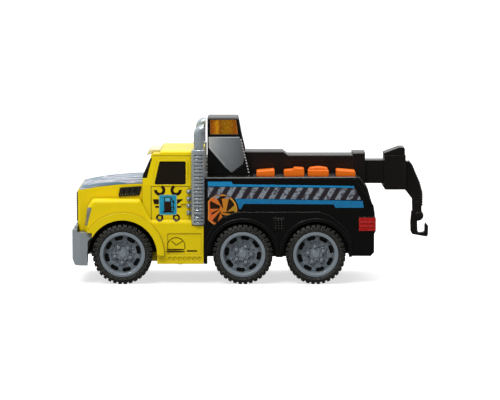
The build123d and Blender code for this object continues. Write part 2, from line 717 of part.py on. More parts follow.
def speaker():
    """Small round speaker facing down: rim, magnet and cone."""
    x = SPEAKER_X
    z = PAN_Z + 2.3
    body = rod_z(x, 0, 18.0, (z, z + 3.0))
    body += Pos(x, 0, z + 3.0) * upright_cone(16.0, 9.0, 5.0)
    body += rod_z(x, 0, 9.5, (z + 7.5, z + 13.0))
    return body - Pos(x, 0, z) * upright_cone(15.0, 4.0, 3.0)


def tail_light():
    """Left red tail-light lens with two level ribs."""
    lens = tail_light_block(0)
    outer_corner = lens.edges().filter_by(Axis.Z).sort_by(lambda edge: edge.center().X - edge.center().Y)[0]
    lens = chamfer(outer_corner, 0.8)
    ribs = [block((-121.5, -108.4), (53.5, 54.6), (z, z + 0.9)) for z in (56.4, 60.6)]
    return lens + ribs


# ---- Light tower --------------------------------------------------------------------------------

TOWER_BASE_Z = DECK_Z + 0.25
LENS_Z = (144.9, 159.6)


def tower_form(inset):
    """Tower behind the cab: upright front, leaning back, slightly narrower and crowned at the top."""
    side = [
        (42.1, TOWER_BASE_Z), (42.1, 160.4), (40.9, 161.6), (12.8, 161.6),
        (11.6, 160.4), (8.4, 143.4), (-0.5, TOWER_BASE_Z),
    ]
    front = [
        (-24, TOWER_BASE_Z), (24, TOWER_BASE_Z), (22.6, 160), (20.5, 161.4),
        (0, 162.6), (-20.5, 161.4), (-22.6, 160),
    ]
    body = side_prism(shrunk(side, inset), (-30, 30))
    return body & front_prism(shrunk(front, inset), (-10, 50))


def lens_zone(shift):
    """Side outline of the beacon window."""
    low, high = LENS_Z[0] + shift, LENS_Z[1] - shift
    return [(39.6 - shift, low), (39.6 - shift, high), (13.6 + shift, high), (11.6 + shift, low)]


def boom_slot(grow):
    """Side outline of the tower's slot: clears the boom from level to fully raised."""
    front = 24.4 + grow
    return [(front, 90), (front, 126 + grow), (17, 131.4 + grow), (1, 140.5 + grow), (-20, 150), (-20, 90)]


def light_tower():
    """Black tower moulding with the beacon window and the boom's slot."""
    cheek = 15.0 + MOVING_GAP
    tower = tower_form(0) - tower_form(2.0)
    tower += tower_form(1) & side_prism(boom_slot(2), (-cheek - 2, cheek + 2))
    tower += tower_form(1) & both_sides(rod_y(PIVOT_X, PIVOT_Z, 6.0, (cheek, 30)))
    tower += tower_form(1) & block((5, 45), (-30, 30), (142.6, 144.9))
    tower -= side_prism(lens_zone(0), (-30, 30))
    tower -= side_prism(boom_slot(0), (-cheek, cheek))
    tower -= rod_y(PIVOT_X, PIVOT_Z, PIVOT_R + 0.02, (-22.2, 22.2))
    ribs = [block((41.4, 43.4), (-18, 18), (z, z + 1.2)) for z in (108, 112, 116, 120)]
    return tower + ribs


def beacon_lens():
    """Amber lens through the tower, a tube open at neither side, ribbed inside."""
    lens = (tower_form(0.4) - tower_form(2.2)) & side_prism(lens_zone(GAP), (-30, 30))
    ring = side_prism(lens_zone(GAP), (-21.4, 21.4)) - side_prism(lens_zone(1.6), (-22, 22))
    ribs = [block((x, x + 0.9), (20.0, 22.0), (146.6, 158.0)) for x in (17, 20.5, 24, 27.5, 31, 34.5)]
    return lens + ring + both_sides(Part() + ribs)


def beacon_led():
    """Light-emitting diode on its small board, inside the lens."""
    led = rod_z(26, 0, 2.5, (149.0, 153.4))
    led += Pos(26, 0, 153.4) * Sphere(2.5)
    led += block((18, 34), (-8, 8), (147.5, 149.1))
    return led


def boom_pin():
    """Steel pin of the boom, held in the tower's cheeks."""
    return rod_y(PIVOT_X, PIVOT_Z, PIVOT_R, (-21.8, 21.8))


# ---- Boom, tow arm and hook ---------------------------------------------------------------------

def boom():
    """Outer boom: round pivot end, stepped top, hollow box for the extension, collar at the end."""
    low_z = 93.4
    outline = [
        (PIVOT_X, PIVOT_Z + BOOM_END_R), (-32.2, 127.5), (-36.9, 124.0),
        (COLLAR_X[1], 124.0), (COLLAR_X[1], low_z), (0, low_z + 2.0), (PIVOT_X, PIVOT_Z - BOOM_END_R),
    ]
    body = side_prism(outline, (-BOOM_HALF, BOOM_HALF))
    body = chamfer([edge for edge in body.edges().filter_by(Axis.X) if edge.center().Z > 120], 1.0)
    body += rod_y(PIVOT_X, PIVOT_Z, BOOM_END_R, (-BOOM_HALF, BOOM_HALF))
    collar = block(COLLAR_X, (-15.3, 15.3), (92.2, 126.4))
    body += chamfer(collar.edges().filter_by(Axis.X), 1.2)
    low, high = SLEEVE_Z
    room = SLEEVE_HALF + MOVING_GAP
    body -= block((-120, -26), (-room, room), (low - MOVING_GAP, high + MOVING_GAP))
    body -= rod_y(PIVOT_X, PIVOT_Z, PIVOT_R + RUNNING_FIT, (-20, 20))
    panel = block((-96, -42), (BOOM_HALF - 0.8, BOOM_HALF + 1), (101, 117))
    return body - panel - mirrored(panel)


def boom_extension():
    """Sliding box section; its front end stays inside the boom over the whole travel."""
    low, high = SLEEVE_Z
    tube = block((HEAD_X[1], -44.0), (-SLEEVE_HALF, SLEEVE_HALF), (low, high))
    tube -= block((HEAD_X[1] - 1, -40), (-SLEEVE_HALF + 2, SLEEVE_HALF - 2), (low + 2, high - 2))
    return tube


def boom_head():
    """Head block on the end of the extension, with a tenon inside it and a socket for the tow arm."""
    front, rear = HEAD_X[1], HEAD_X[0]
    outline = [(front, 123.3), (rear, 123.3), (rear, 89.2), (-134.4, 89.2), (-131.6, 93.2), (front, 95.3)]
    low, high = SLEEVE_Z
    head = side_prism(outline, (-15, 15))
    head = chamfer([edge for edge in head.edges().filter_by(Axis.Z) if edge.center().X < -150], 1.2)
    head += block((-134, -124), (-8.9, 8.9), (low + 2.1, high - 2.1))
    head -= block((-155, -149.9), (-4.1, 4.1), (95.9, 110.1))
    return head


def head_cap():
    """Sloping cap on top of the head."""
    outline = [
        (-133.2, 123.3), (-133.2, 125.4), (-148.3, 131.0),
        (-153.0, 131.0), (-153.9, 129.6), (-153.9, 123.3),
    ]
    return side_prism(outline, (-12, 12))


ROPE_LINE = [
    (-158.4, 115.4), (-160.9, 112.4),
    (-163.6, 105.6), (-168.1, 95.5), (-171.0, 85.0), (-171.0, 73.4),
]
ROPE_PITCH = 2.4
ROPE_R = 1.35


def moulded_rope():
    """Rope moulded along the back of the tow arm: a row of short round ribs."""
    line = Polyline(*ROPE_LINE)
    count = int(line.length / ROPE_PITCH)
    places = [line @ (step / count) for step in range(count + 1)]
    return [rod_y(place.X, place.Y, ROPE_R, (-6.3, 6.3)) for place in places]


def tow_arm():
    """Curved arm from the head, with a moulded rope along its back and a fork for the hook."""
    pin_x, pin_z = HOOK_PIVOT
    outline = [
        (-154.65, 117.0), (-157.4, 116.2), (-160.2, 114.2), (-163.4, 106.7), (-167.9, 96.5), (-170.5, 88.6),
        (-171.2, 84.6), (-171.2, pin_z), (-162.6, pin_z), (-162.0, 79.4), (-160.4, 80.6),
        (-157.6, 84.4), (-154.65, 88.2),
    ]
    panel = [
        (-160.6, 108), (-164.8, 98), (-168.4, 87), (-168.6, 76),
        (-164.6, 76), (-164.0, 81), (-159.2, 88), (-158.0, 96),
    ]
    arm = side_prism(outline, (-6, 6)) + moulded_rope()
    arm += rod_y(pin_x, pin_z, 5.3, (-6, 6))
    arm += block((-156, -150), (-4, 4), (96, 110))
    arm -= block((-180, -150), (-HOOK_HALF - MOVING_GAP, HOOK_HALF + MOVING_GAP), (50, 71.6))
    arm -= rod_y(pin_x, pin_z, HOOK_PIN_R + 0.02, (-7, 7))
    return arm - both_sides(side_prism(rounded(panel, 1.0), (5.2, 7)))


def hook_pin():
    """Rivet through the fork, with a round head on each side."""
    pin_x, pin_z = HOOK_PIVOT
    pin = rod_y(pin_x, pin_z, HOOK_PIN_R, (-6.2, 6.2))
    head = rod_y(pin_x, pin_z, 3.6, (6.05, 7.6))
    head = fillet(head.edges().filter_by(GeomType.CIRCLE).sort_by(Axis.Y)[-1], 0.9)
    return pin + both_sides(head)


def tow_hook():
    """Flat hook: eye round the rivet, straight shank, square-bottomed throat, pointed tip."""
    pin_x, pin_z = HOOK_PIVOT
    outline = [
        (-161.4, 66.6), (-160.4, 55.3), (-160.7, 46.0), (-162.2, 43.4), (-176.4, 40.8), (-178.0, 42.4),
        (TAIL_X, 51.5), (-175.6, 54.9), (-174.6, 52.3), (-174.6, 46.8), (-173.4, 45.3), (-168.8, 44.9),
        (-167.5, 46.8), (-167.2, 55.3), (-167.4, 62.0), (-167.4, 66.6),
    ]
    hook = side_prism(outline, (-HOOK_HALF, HOOK_HALF))
    hook += rod_y(pin_x, pin_z, 4.9, (-HOOK_HALF, HOOK_HALF))
    return hook - rod_y(pin_x, pin_z, HOOK_PIN_R + RUNNING_FIT, (-5, 5))


# ---- Chassis and power --------------------------------------------------------------------------

BATTERY_R = 5.25
BATTERY_LENGTH = 44.5
BATTERY_CENTRE_X = 69.0
BATTERY_Z = 27.2


def door_outline(shrink):
    """Battery door with its screw tongue, as a block in the chassis floor."""
    low_z = CHASSIS_Z[0]
    half_x = 26.0 - shrink
    half_y = 19.2 - shrink
    x = BATTERY_CENTRE_X
    high_z = low_z + 1.8
    tongue_half = 4.2 - shrink
    door = block((x - half_x, x + half_x), (-half_y, half_y), (low_z, high_z))
    return door + block((x + half_x - 1, x + 31.2 - shrink), (-tongue_half, tongue_half), (low_z, high_z))


def across(shape):
    """Turn a piece of the battery bay a quarter turn, so that the cells lie across the truck."""
    return Pos(BATTERY_CENTRE_X, 0, 0) * Rot(0, 0, 90) * Pos(-BATTERY_CENTRE_X, 0, 0) * shape


def battery_box():
    """Box below the floor pan that holds the cells: its walls, and the boss of the door's screw."""
    x = BATTERY_CENTRE_X
    low_z, high_z = CHASSIS_Z
    box = block((x - 28.2, x + 28.2), (-21.4, 21.4), (low_z, PAN_Z + 2.2))
    box += block((x - 25.6, x + 25.6), (-18.6, 18.6), (low_z + 1, high_z - 1))
    return box + block((x + 24.0, x + 33.4), (-6.4, 6.4), (low_z, 26.2))


def battery_room():
    """Space inside the battery box, with the seat of its door and the screw's pilot hole."""
    x = BATTERY_CENTRE_X
    low_z, high_z = CHASSIS_Z
    room = block((x - 23.8, x + 23.8), (-17.0, 17.0), (low_z - 1, high_z - 2.6))
    return room + door_outline(0) + rod_z(x + 28.4, 0, SCREW_SHANK_R + 0.05, (low_z + 1, 25.4))


def chassis():
    """Floor tray with axle bearings, screw holes, battery box and speaker grille."""
    high_z = CHASSIS_Z[1]
    tray = block(CHASSIS_X, (-CHASSIS_HALF, CHASSIS_HALF), (PAN_Z, high_z))
    tray = chamfer(tray.edges().filter_by(Axis.X).group_by(Axis.Z)[0], 2.0)
    wall = 2.2
    inside_x = (CHASSIS_X[0] + wall, CHASSIS_X[1] - wall)
    tray -= block(inside_x, (-CHASSIS_HALF + wall, CHASSIS_HALF - wall), (PAN_Z + wall, 50))
    for x in AXLE_X.values():
        for side in (-1, 1):
            tray += block((x - 5.5, x + 5.5), (side * 20.5, side * CHASSIS_HALF), (PAN_Z + 1, high_z))
    posts = [(x, side * y) for x, y, _ in CAB_POSTS + BED_POSTS for side in (-1, 1)]
    for x, y in posts:
        tray += rod_z(x, y, BOSS_R, (PAN_Z + 1, POST_FOOT_Z - 0.2))
    tray += across(battery_box())
    tray -= across(battery_room())
    for x in AXLE_X.values():
        tray -= rod_y(x, AXLE_Z, AXLE_R + RUNNING_FIT, (-40, 40))
    for x, y in posts:
        tray -= rod_z(x, y, SCREW_SHANK_R + 0.4, (PAN_Z - 1, 30))
        tray -= rod_z(x, y, SCREW_HEAD_R + 0.4, (PAN_Z - 1, PAN_Z + 2.7))
    slot_x = (SPEAKER_X - 11, SPEAKER_X + 11)
    return tray - [block(slot_x, (y - 0.8, y + 0.8), (PAN_Z - 1, PAN_Z + 4)) for y in range(-12, 13, 4)]


def screw_at(x, y, head_z, length):
    """Self-tapping pan-head screw pointing up, with a cross recess."""
    screw = rod_z(x, y, SCREW_HEAD_R, (head_z, head_z + 1.6))
    screw += rod_z(x, y, SCREW_SHANK_R, (head_z + 1.5, head_z + length))
    screw -= block((x - 1.5, x + 1.5), (y - 0.3, y + 0.3), (head_z - 1, head_z + 0.9))
    return screw - block((x - 0.3, x + 0.3), (y - 1.5, y + 1.5), (head_z - 1, head_z + 0.9))


def chassis_screws():
    """Eight identical screws that hold both body mouldings to the chassis."""
    head_z = PAN_Z + 1.0
    posts = [(x, side * y) for x, y, _ in CAB_POSTS + BED_POSTS for side in (-1, 1)]
    screws = [screw_at(x, y, head_z, SCREW_LENGTH) for x, y in posts]
    return Compound([screw.solid() for screw in screws])


def battery_door():
    """Door over the battery bay, flush with the chassis."""
    low_z = CHASSIS_Z[0]
    x = BATTERY_CENTRE_X
    door = door_outline(GAP)
    door -= rod_z(x + 28.4, 0, SCREW_SHANK_R + 0.3, (low_z - 1, low_z + 3))
    return across(door - block((x - 22, x - 12), (-8, 8), (low_z - 0.1, low_z + 0.6)))


def battery_door_screw():
    """Screw of the battery door."""
    return across(screw_at(BATTERY_CENTRE_X + 28.4, 0, CHASSIS_Z[0] - 1.6, 7.0))


def batteries():
    """Three small cylindrical cells side by side, each with its raised terminal."""
    half = BATTERY_LENGTH / 2
    cells = []
    for step in (-1, 0, 1):
        y = step * 2 * (BATTERY_R + 0.1)
        facing = -1 if step == 0 else 1
        start = BATTERY_CENTRE_X - facing * half
        end = BATTERY_CENTRE_X + facing * (half - 1)
        body = rod_x(y, BATTERY_Z - 1.4, BATTERY_R, (min(start, end), max(start, end)))
        tip = rod_x(y, BATTERY_Z - 1.4, 1.9, (min(end, end + facing), max(end, end + facing)))
        cells.append(across((body + tip).solid()))
    return Compound(cells)


def battery_contacts():
    """Two spring-steel strips, one at each end of the bay."""
    strips = []
    for side in (-1, 1):
        outer = BATTERY_CENTRE_X + side * 23.7
        inner = BATTERY_CENTRE_X + side * 23.1
        strips.append(block((min(outer, inner), max(outer, inner)), (-15, 15), (21.0, 30.6)))
    return Compound([across(strip).solid() for strip in strips])


# ---- Writing ------------------------------------------------------------------------------------

def write(node, shape):
    """Centre a sub-part on the frame's origin and write its STEP file."""
    placed = Pos(-CENTRE_X, 0, 0) * shape
    placed.label = node
    export_step(placed, "parts/" + node + ".step")
    print(node, round(shape.volume))


def write_pair(name, left_shape):
    """Write a sub-part and its mirror image."""
    write("left_" + name, left_shape)
    write("right_" + name, mirrored(left_shape))


def write_wheels():
    """Three axles, six tyres and six rims, each wheel clocked differently."""
    tyre_shape = tyre()
    rim_shape = rim()
    clocking = {"front": 14, "middle": 37, "rear": 61}
    for axle, angle in clocking.items():
        left_tyre = on_axle(tyre_shape, axle, 0)
        left_rim = on_axle(rim_shape, axle, angle)
        write(axle + "_axle", axle_rod(axle))
        write(axle + "_left_tyre", left_tyre)
        write(axle + "_right_tyre", mirrored(left_tyre))
        write(axle + "_left_rim", left_rim)
        write(axle + "_right_rim", mirrored(left_rim))


def main():
    """Write every sub-part."""
    os.makedirs("parts", exist_ok=True)
    write_wheels()
    write("cab_shell", cab_shell())
    write("windscreen", windscreen())
    write_pair("side_window", side_window())
    write_pair("headlight", headlight())
    write_pair("hood_vent", hood_vent())
    write("sun_visor", sun_visor())
    write("grille", grille())
    write("front_bumper", front_bumper())
    write_pair("exhaust_stack", exhaust_stack())
    write("bed_shell", bed_shell())
    write("left_deck_plate", deck_plate(True))
    write("right_deck_plate", deck_plate(False))
    for name in BUTTONS:
        write(name, deck_button(name))
    write("button_pad", button_pad())
    write("circuit_board", circuit_board())
    write("speaker", speaker())
    write_pair("tail_light", tail_light())
    write("light_tower", light_tower())
    write("beacon_lens", beacon_lens())
    write("beacon_led", beacon_led())
    write("boom_pin", boom_pin())
    write("boom", boom())
    write("boom_extension", boom_extension())
    write("boom_head", boom_head())
    write("head_cap", head_cap())
    write("tow_arm", tow_arm())
    write("hook_pin", hook_pin())
    write("tow_hook", tow_hook())
    write("chassis", chassis())
    write("chassis_screws", chassis_screws())
    write("battery_door", battery_door())
    write("battery_door_screw", battery_door_screw())
    write("batteries", batteries())
    write("battery_contacts", battery_contacts())


main()
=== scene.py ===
"""Looks of the toy tow truck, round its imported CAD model.

Metres throughout: +X is the nose, +Y the left side, Z is up and the wheels stand on Z = 0.
Side printing is listed in millimetres: along the truck from its drawing line, and above the ground.
"""

import json
import math

import bmesh
import bpy
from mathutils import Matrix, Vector
from mathutils.bvhtree import BVHTree


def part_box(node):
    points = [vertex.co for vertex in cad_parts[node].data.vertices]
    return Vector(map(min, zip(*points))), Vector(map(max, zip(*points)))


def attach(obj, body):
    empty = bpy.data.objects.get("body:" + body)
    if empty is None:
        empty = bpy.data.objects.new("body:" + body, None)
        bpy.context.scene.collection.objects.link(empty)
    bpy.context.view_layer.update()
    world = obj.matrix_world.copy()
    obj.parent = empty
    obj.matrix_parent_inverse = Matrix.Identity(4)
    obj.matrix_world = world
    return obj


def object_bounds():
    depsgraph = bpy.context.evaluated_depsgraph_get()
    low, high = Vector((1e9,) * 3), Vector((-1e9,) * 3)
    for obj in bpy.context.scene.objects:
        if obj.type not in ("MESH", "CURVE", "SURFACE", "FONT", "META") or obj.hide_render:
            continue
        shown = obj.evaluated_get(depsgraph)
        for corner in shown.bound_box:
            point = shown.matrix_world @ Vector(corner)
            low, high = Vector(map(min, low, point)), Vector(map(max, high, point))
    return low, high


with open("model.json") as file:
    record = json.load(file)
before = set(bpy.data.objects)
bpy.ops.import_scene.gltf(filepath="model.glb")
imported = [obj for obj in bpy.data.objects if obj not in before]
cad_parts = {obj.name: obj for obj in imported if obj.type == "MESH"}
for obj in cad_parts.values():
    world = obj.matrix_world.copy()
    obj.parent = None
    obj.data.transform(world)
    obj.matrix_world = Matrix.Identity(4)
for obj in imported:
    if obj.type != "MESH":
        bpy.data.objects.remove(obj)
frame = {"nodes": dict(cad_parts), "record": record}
cad_low, cad_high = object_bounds()

NODES = frame["nodes"]
SLOT_OF = {part["node"]: part["material_slot"] for part in frame["record"]["subparts"]}
MM = 0.001
SIDES = {"left": 1, "right": -1}


# ---- Materials ----------------------------------------------------------------------------------


def linear(red, green, blue):
    """Colour written as 0-255 screen values, as the linear colour a shader takes."""
    def channel(value):
        value /= 255
        return value / 12.92 if value <= 0.04045 else ((value + 0.055) / 1.055) ** 2.4
    return (channel(red), channel(green), channel(blue), 1.0)


def scaled(colour, factor):
    """The colour made lighter or darker."""
    return tuple(min(1.0, value * factor) for value in colour[:3]) + (1.0,)


class Finish:
    """A node material built from short calls; values that are the same all over stay on the shader."""

    def __init__(self, name, **values):
        self.material = bpy.data.materials.new(name)
        self.material.use_nodes = True
        self.tree = self.material.node_tree
        self.shader = self.tree.nodes["Principled BSDF"]
        for socket, value in values.items():
            self.shader.inputs[socket.replace("_", " ")].default_value = value
        self.where = self.tree.nodes.new("ShaderNodeTexCoord").outputs["Object"]

    def add(self, kind, inputs, output=0, **settings):
        """A node with its inputs set or linked; returns one of its outputs."""
        node = self.tree.nodes.new("ShaderNode" + kind)
        for setting, value in settings.items():
            setattr(node, setting, value)
        for key, value in inputs.items():
            if isinstance(value, bpy.types.NodeSocket):
                self.tree.links.new(value, node.inputs[key])
            else:
                node.inputs[key].default_value = value
        return node.outputs[output]

    def link(self, value, socket):
        self.tree.links.new(value, self.shader.inputs[socket])

    def noise(self, size_mm, detail=2.0, where=None, distortion=0.0):
        """Noise from 0 to 1 whose features are about size_mm across."""
        inputs = {"Vector": where or self.where, "Scale": 1 / (size_mm * MM), "Detail": detail,
                  "Distortion": distortion}
        return self.add("TexNoise", inputs)

    def spread(self, value, low, high, start=0.0, end=1.0):
        """Moves a value from start..end to low..high."""
        return self.add("MapRange", {"Value": value, 1: start, 2: end, 3: low, 4: high})

    def mixed(self, factor, first, second, how="MIX"):
        """Blend of two colours."""
        return self.add("Mix", {0: factor, 6: first, 7: second}, 2, data_type="RGBA", blend_type=how)

    def stretched(self, x, y, z):
        """Coordinates scaled along each axis, for streaks."""
        return self.add("Mapping", {"Vector": self.where, "Scale": (x, y, z)})

    def along(self, axis):
        """Position along an axis, 0 for X."""
        return self.add("SeparateXYZ", {"Vector": self.where}, axis)

    def ramp(self, factor, stops):
        """Colour ramp from (place, colour) stops."""
        node = self.tree.nodes.new("ShaderNodeValToRGB")
        self.tree.links.new(factor, node.inputs[0])
        elements = node.color_ramp.elements
        elements[0].position, elements[0].color = stops[0]
        elements[1].position, elements[1].color = stops[-1]
        for place, colour in stops[1:-1]:
            elements.new(place).color = colour
        return node.outputs[0]

    def edges(self, radius_mm, gain=5.0):
        """Near 1 on the part's sharp edges and 0 on its faces."""
        rounded = self.add("Bevel", {"Radius": radius_mm * MM}, samples=4)
        flat = self.tree.nodes.new("ShaderNodeNewGeometry").outputs["Normal"]
        facing = self.add("VectorMath", {0: rounded, 1: flat}, 1, operation="DOT_PRODUCT")
        away = self.add("Math", {0: 1.0, 1: facing}, operation="SUBTRACT")
        return self.add("Math", {0: away, 1: gain}, operation="MULTIPLY", use_clamp=True)

    def painted_shade_level(self, distance_mm, low=0.45):
        """Painted shade: from low in corners and grooves to 1 on open faces, where shade would fall."""
        seen = self.add("AmbientOcclusion", {"Distance": distance_mm * MM}, 1, samples=6)
        return self.spread(seen, low, 1.0, 0.25, 0.95)

    def shaded(self, colour, distance_mm, low=0.45):
        """The colour with painted shade: darker in corners and grooves."""
        light = self.painted_shade_level(distance_mm, low)
        grey = self.add("CombineColor", {0: light, 1: light, 2: light})
        return self.mixed(1.0, colour, grey, "MULTIPLY")

    def relief(self, height, depth_mm, strength=0.4, round_mm=0.0):
        """Bumps the surface by the height value, over softly rounded edges."""
        inputs = {"Height": height, "Distance": depth_mm * MM, "Strength": strength}
        if round_mm:
            inputs["Normal"] = self.add("Bevel", {"Radius": round_mm * MM}, samples=4)
        self.link(self.add("Bump", inputs), "Normal")

    def tinted(self, colour, spread=0.06, size_mm=30.0, speck=0.03):
        """The colour with slow and fine variation, as moulded plastic has."""
        slow = self.mixed(self.noise(size_mm), scaled(colour, 1 - spread), scaled(colour, 1 + spread))
        fine = self.mixed(self.noise(0.5, 1.0), scaled(colour, 1 - speck), scaled(colour, 1 + speck))
        return self.mixed(0.5, slow, fine)


def moulded_plastic(name, colour, roughness=0.3, worn=None, grain_mm=0.35, grain=0.12, round_mm=0.35,
                    uneven=0.06, **values):
    """Injection-moulded plastic: faint tint variation, mould grain, softened edges turned lighter by scuffs
    and painted highlight, with painted shade in grooves and corners.
    """
    finish = Finish(name, **values)
    tint = finish.tinted(colour, uneven)
    # Edges turn to the worn colour: partly scuffs, partly painted highlight.
    scuff_and_highlight = finish.add("Math", {0: finish.edges(0.3), 1: finish.noise(6.0, 4.0)}, operation="MULTIPLY")
    scuffed_and_highlit = finish.mixed(scuff_and_highlight, tint, worn or scaled(colour, 1.35))
    # Painted shade: darker in grooves and corners.
    finish.link(finish.shaded(scuffed_and_highlit, 2.5, 0.5), "Base Color")
    finish.link(finish.spread(finish.noise(9.0, 4.0), roughness * 0.8, roughness * 1.25), "Roughness")
    finish.relief(finish.noise(grain_mm, 3.0), 0.05, grain, round_mm)
    return finish


def flaked_plastic(name, colour, roughness=0.38, metallic=0.35):
    """Silver-grey plastic with fine metallic flakes, its edges lighter from wear and painted highlight, with
    painted shade in its recesses.
    """
    finish = Finish(name, Metallic=metallic)
    flake = finish.add("TexVoronoi", {"Vector": finish.where, "Scale": 1 / (0.35 * MM)}, 1)
    grey = finish.add("RGBToBW", {"Color": flake})
    tint = finish.mixed(grey, scaled(colour, 0.95), scaled(colour, 1.05))
    slow = finish.mixed(finish.noise(14.0), scaled(colour, 0.93), scaled(colour, 1.07))
    body = finish.mixed(0.5, tint, slow)
    # Edges much lighter: partly wear, partly painted highlight.
    scuffed_and_highlit = finish.mixed(finish.edges(0.35, 5.0), body, scaled(colour, 2.3))
    # Painted shade: strongly darker in recesses.
    finish.link(finish.shaded(scuffed_and_highlit, 6.0, 0.08), "Base Color")
    finish.link(finish.spread(finish.noise(5.0, 4.0), roughness * 0.8, roughness * 1.2), "Roughness")
    finish.relief(finish.noise(0.5, 3.0), 0.03, 0.08, 0.35)
    return finish


def tyre_compound():
    """Soft black plastic of the tyres: matt, with dust and painted highlight on the lug edges and painted
    shade between the lugs.
    """
    finish = Finish("tyre_compound", Specular_IOR_Level=0.4)
    black, dust_and_highlight_tone = linear(32, 32, 29), linear(178, 176, 167)
    tint = finish.mixed(finish.noise(7.0, 5.0), scaled(black, 0.8), scaled(black, 1.3))
    # Lug edges lighter: partly dust, partly painted highlight.
    dust_and_highlight = finish.add("Math", {0: finish.edges(0.4, 8.0), 1: finish.noise(3.0, 3.0)}, operation="MULTIPLY")
    # Painted shade: darker between the lugs.
    finish.link(finish.shaded(finish.mixed(dust_and_highlight, tint, dust_and_highlight_tone), 4.0, 0.25), "Base Color")
    finish.link(finish.spread(finish.noise(4.0, 4.0), 0.35, 0.6), "Roughness")
    finish.relief(finish.noise(0.5, 4.0), 0.08, 0.25, 0.3)
    return finish


def steel():
    """Zinc-plated steel, drawn lengthways."""
    finish = Finish("zinc_steel", Metallic=1.0)
    streak = finish.add("TexNoise", {"Vector": finish.stretched(1, 0.04, 1), "Scale": 2500.0, "Detail": 3.0})
    finish.link(finish.mixed(streak, linear(170, 172, 174), linear(214, 216, 218)), "Base Color")
    finish.link(finish.spread(streak, 0.22, 0.42), "Roughness")
    finish.relief(streak, 0.02, 0.2, 0.2)
    return finish


def amber_lens():
    """Clear amber plastic: deep at the rear, a gold reflector band, copper towards the back corner, with
    painted glints and a pale painted highlight along its edges.
    """
    finish = Finish("amber_lens", Roughness=0.14, IOR=1.49, Specular_IOR_Level=0.35)
    low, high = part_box("beacon_lens")
    place = finish.spread(finish.along(0), 0.0, 1.0, low.x, high.x)
    sway = finish.spread(finish.noise(5.0, 3.0), -0.06, 0.06)
    wavy = finish.add("Math", {0: place, 1: sway}, operation="ADD")
    bands = finish.ramp(wavy, [
        (0.0, linear(206, 118, 44)), (0.10, linear(150, 74, 2)), (0.30, linear(170, 112, 2)),
        (0.52, linear(160, 112, 2)), (0.66, linear(150, 78, 2)), (0.75, linear(226, 160, 10)),
        (0.85, linear(186, 104, 2)), (1.0, linear(140, 58, 2)),
    ])
    mottled = finish.mixed(finish.noise(2.2, 4.0), linear(110, 56, 4), linear(255, 180, 40))
    colour = finish.mixed(0.1, bands, mottled)
    cells = finish.add("TexVoronoi", {"Vector": finish.where, "Scale": 1 / (1.5 * MM)}, 0)
    faceted = finish.mixed(finish.spread(cells, 0.0, 0.4, 0.35, 0.8), colour, linear(84, 38, 2))
    # Painted highlights: scattered pale glints.
    glints = finish.spread(finish.noise(0.9, 3.0), 0.0, 0.7, 0.64, 0.74)
    lit = finish.mixed(glints, faceted, linear(255, 206, 96))
    # Painted highlight: pale orange along the lens's edges.
    finish.link(finish.mixed(finish.edges(0.8, 3.0), lit, linear(255, 205, 120)), "Base Color")
    finish.relief(cells, 0.12, 0.35, 0.5)
    return finish


def red_lens():
    """Clear red plastic over a faceted reflector, with a pale painted highlight along its edges."""
    finish = Finish("red_lens", Roughness=0.16, IOR=1.49, Specular_IOR_Level=0.3)
    facets = finish.add("TexVoronoi", {"Vector": finish.where, "Scale": 1 / (1.6 * MM)}, 0)
    colour = finish.mixed(finish.spread(facets, 0.0, 1.0, 0.0, 0.6), linear(134, 8, 8), linear(188, 30, 28))
    # Painted highlight: pale red along the lens's edges.
    finish.link(finish.mixed(finish.edges(0.6, 3.0), colour, linear(226, 92, 84)), "Base Color")
    finish.relief(facets, 0.15, 0.4, 0.4)
    return finish


def smoked_lamp():
    """Grey headlight insert with fine vertical flutes."""
    finish = Finish("smoked_lamp", Roughness=0.2, Coat_Weight=0.4, Coat_Roughness=0.06)
    flutes = finish.add("TexWave", {"Vector": finish.where, "Scale": 260.0, "Distortion": 0.2}, 1)
    colour = finish.mixed(flutes, linear(96, 94, 90), linear(168, 168, 166))
    finish.link(finish.mixed(finish.noise(3.0, 3.0), colour, linear(120, 118, 112)), "Base Color")
    finish.relief(flutes, 0.1, 0.4, 0.3)
    return finish


def tread_plate():
    """Black deck plastic with a low crossed tread pattern."""
    finish = Finish("tread_plate", Specular_IOR_Level=0.35)
    tint = finish.tinted(linear(46, 45, 44), 0.12, 12.0)
    crossed = finish.add("TexVoronoi", {"Vector": finish.stretched(1, 2.2, 1), "Scale": 1 / (3.4 * MM)}, 0)
    worn = finish.mixed(finish.spread(crossed, 0.35, 0.0, 0.0, 0.35), tint, linear(92, 91, 88))
    finish.link(worn, "Base Color")
    finish.link(finish.spread(finish.noise(2.0, 3.0), 0.3, 0.5), "Roughness")
    finish.relief(crossed, 0.3, 0.6, 0.3)
    return finish


def circuit_laminate():
    """Green solder mask with copper tracks showing through."""
    finish = Finish("circuit_laminate", Roughness=0.35)
    tracks = finish.add("TexBrick", {"Vector": finish.where, "Scale": 220.0, "Mortar Size": 0.03,
                                     "Color1": linear(18, 92, 46), "Color2": linear(14, 78, 40),
                                     "Mortar": linear(120, 132, 60)})
    finish.link(finish.mixed(finish.noise(8.0), tracks, linear(12, 70, 36)), "Base Color")
    finish.relief(finish.noise(1.0), 0.05, 0.2)
    return finish


def battery_jacket():
    """Printed foil sleeve: dark with a coppery band at one end."""
    finish = Finish("battery_jacket", Metallic=0.6, Roughness=0.32)
    low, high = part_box("batteries")
    place = finish.spread(finish.along(0), 0.0, 1.0, low.x, high.x)
    bands = finish.ramp(place, [
        (0.0, linear(40, 40, 44)), (0.7, linear(44, 44, 48)),
        (0.72, linear(176, 116, 62)), (1.0, linear(186, 124, 66)),
    ])
    finish.link(finish.mixed(finish.noise(4.0, 3.0), bands, linear(60, 58, 60)), "Base Color")
    finish.relief(finish.noise(2.0), 0.03, 0.2)
    return finish


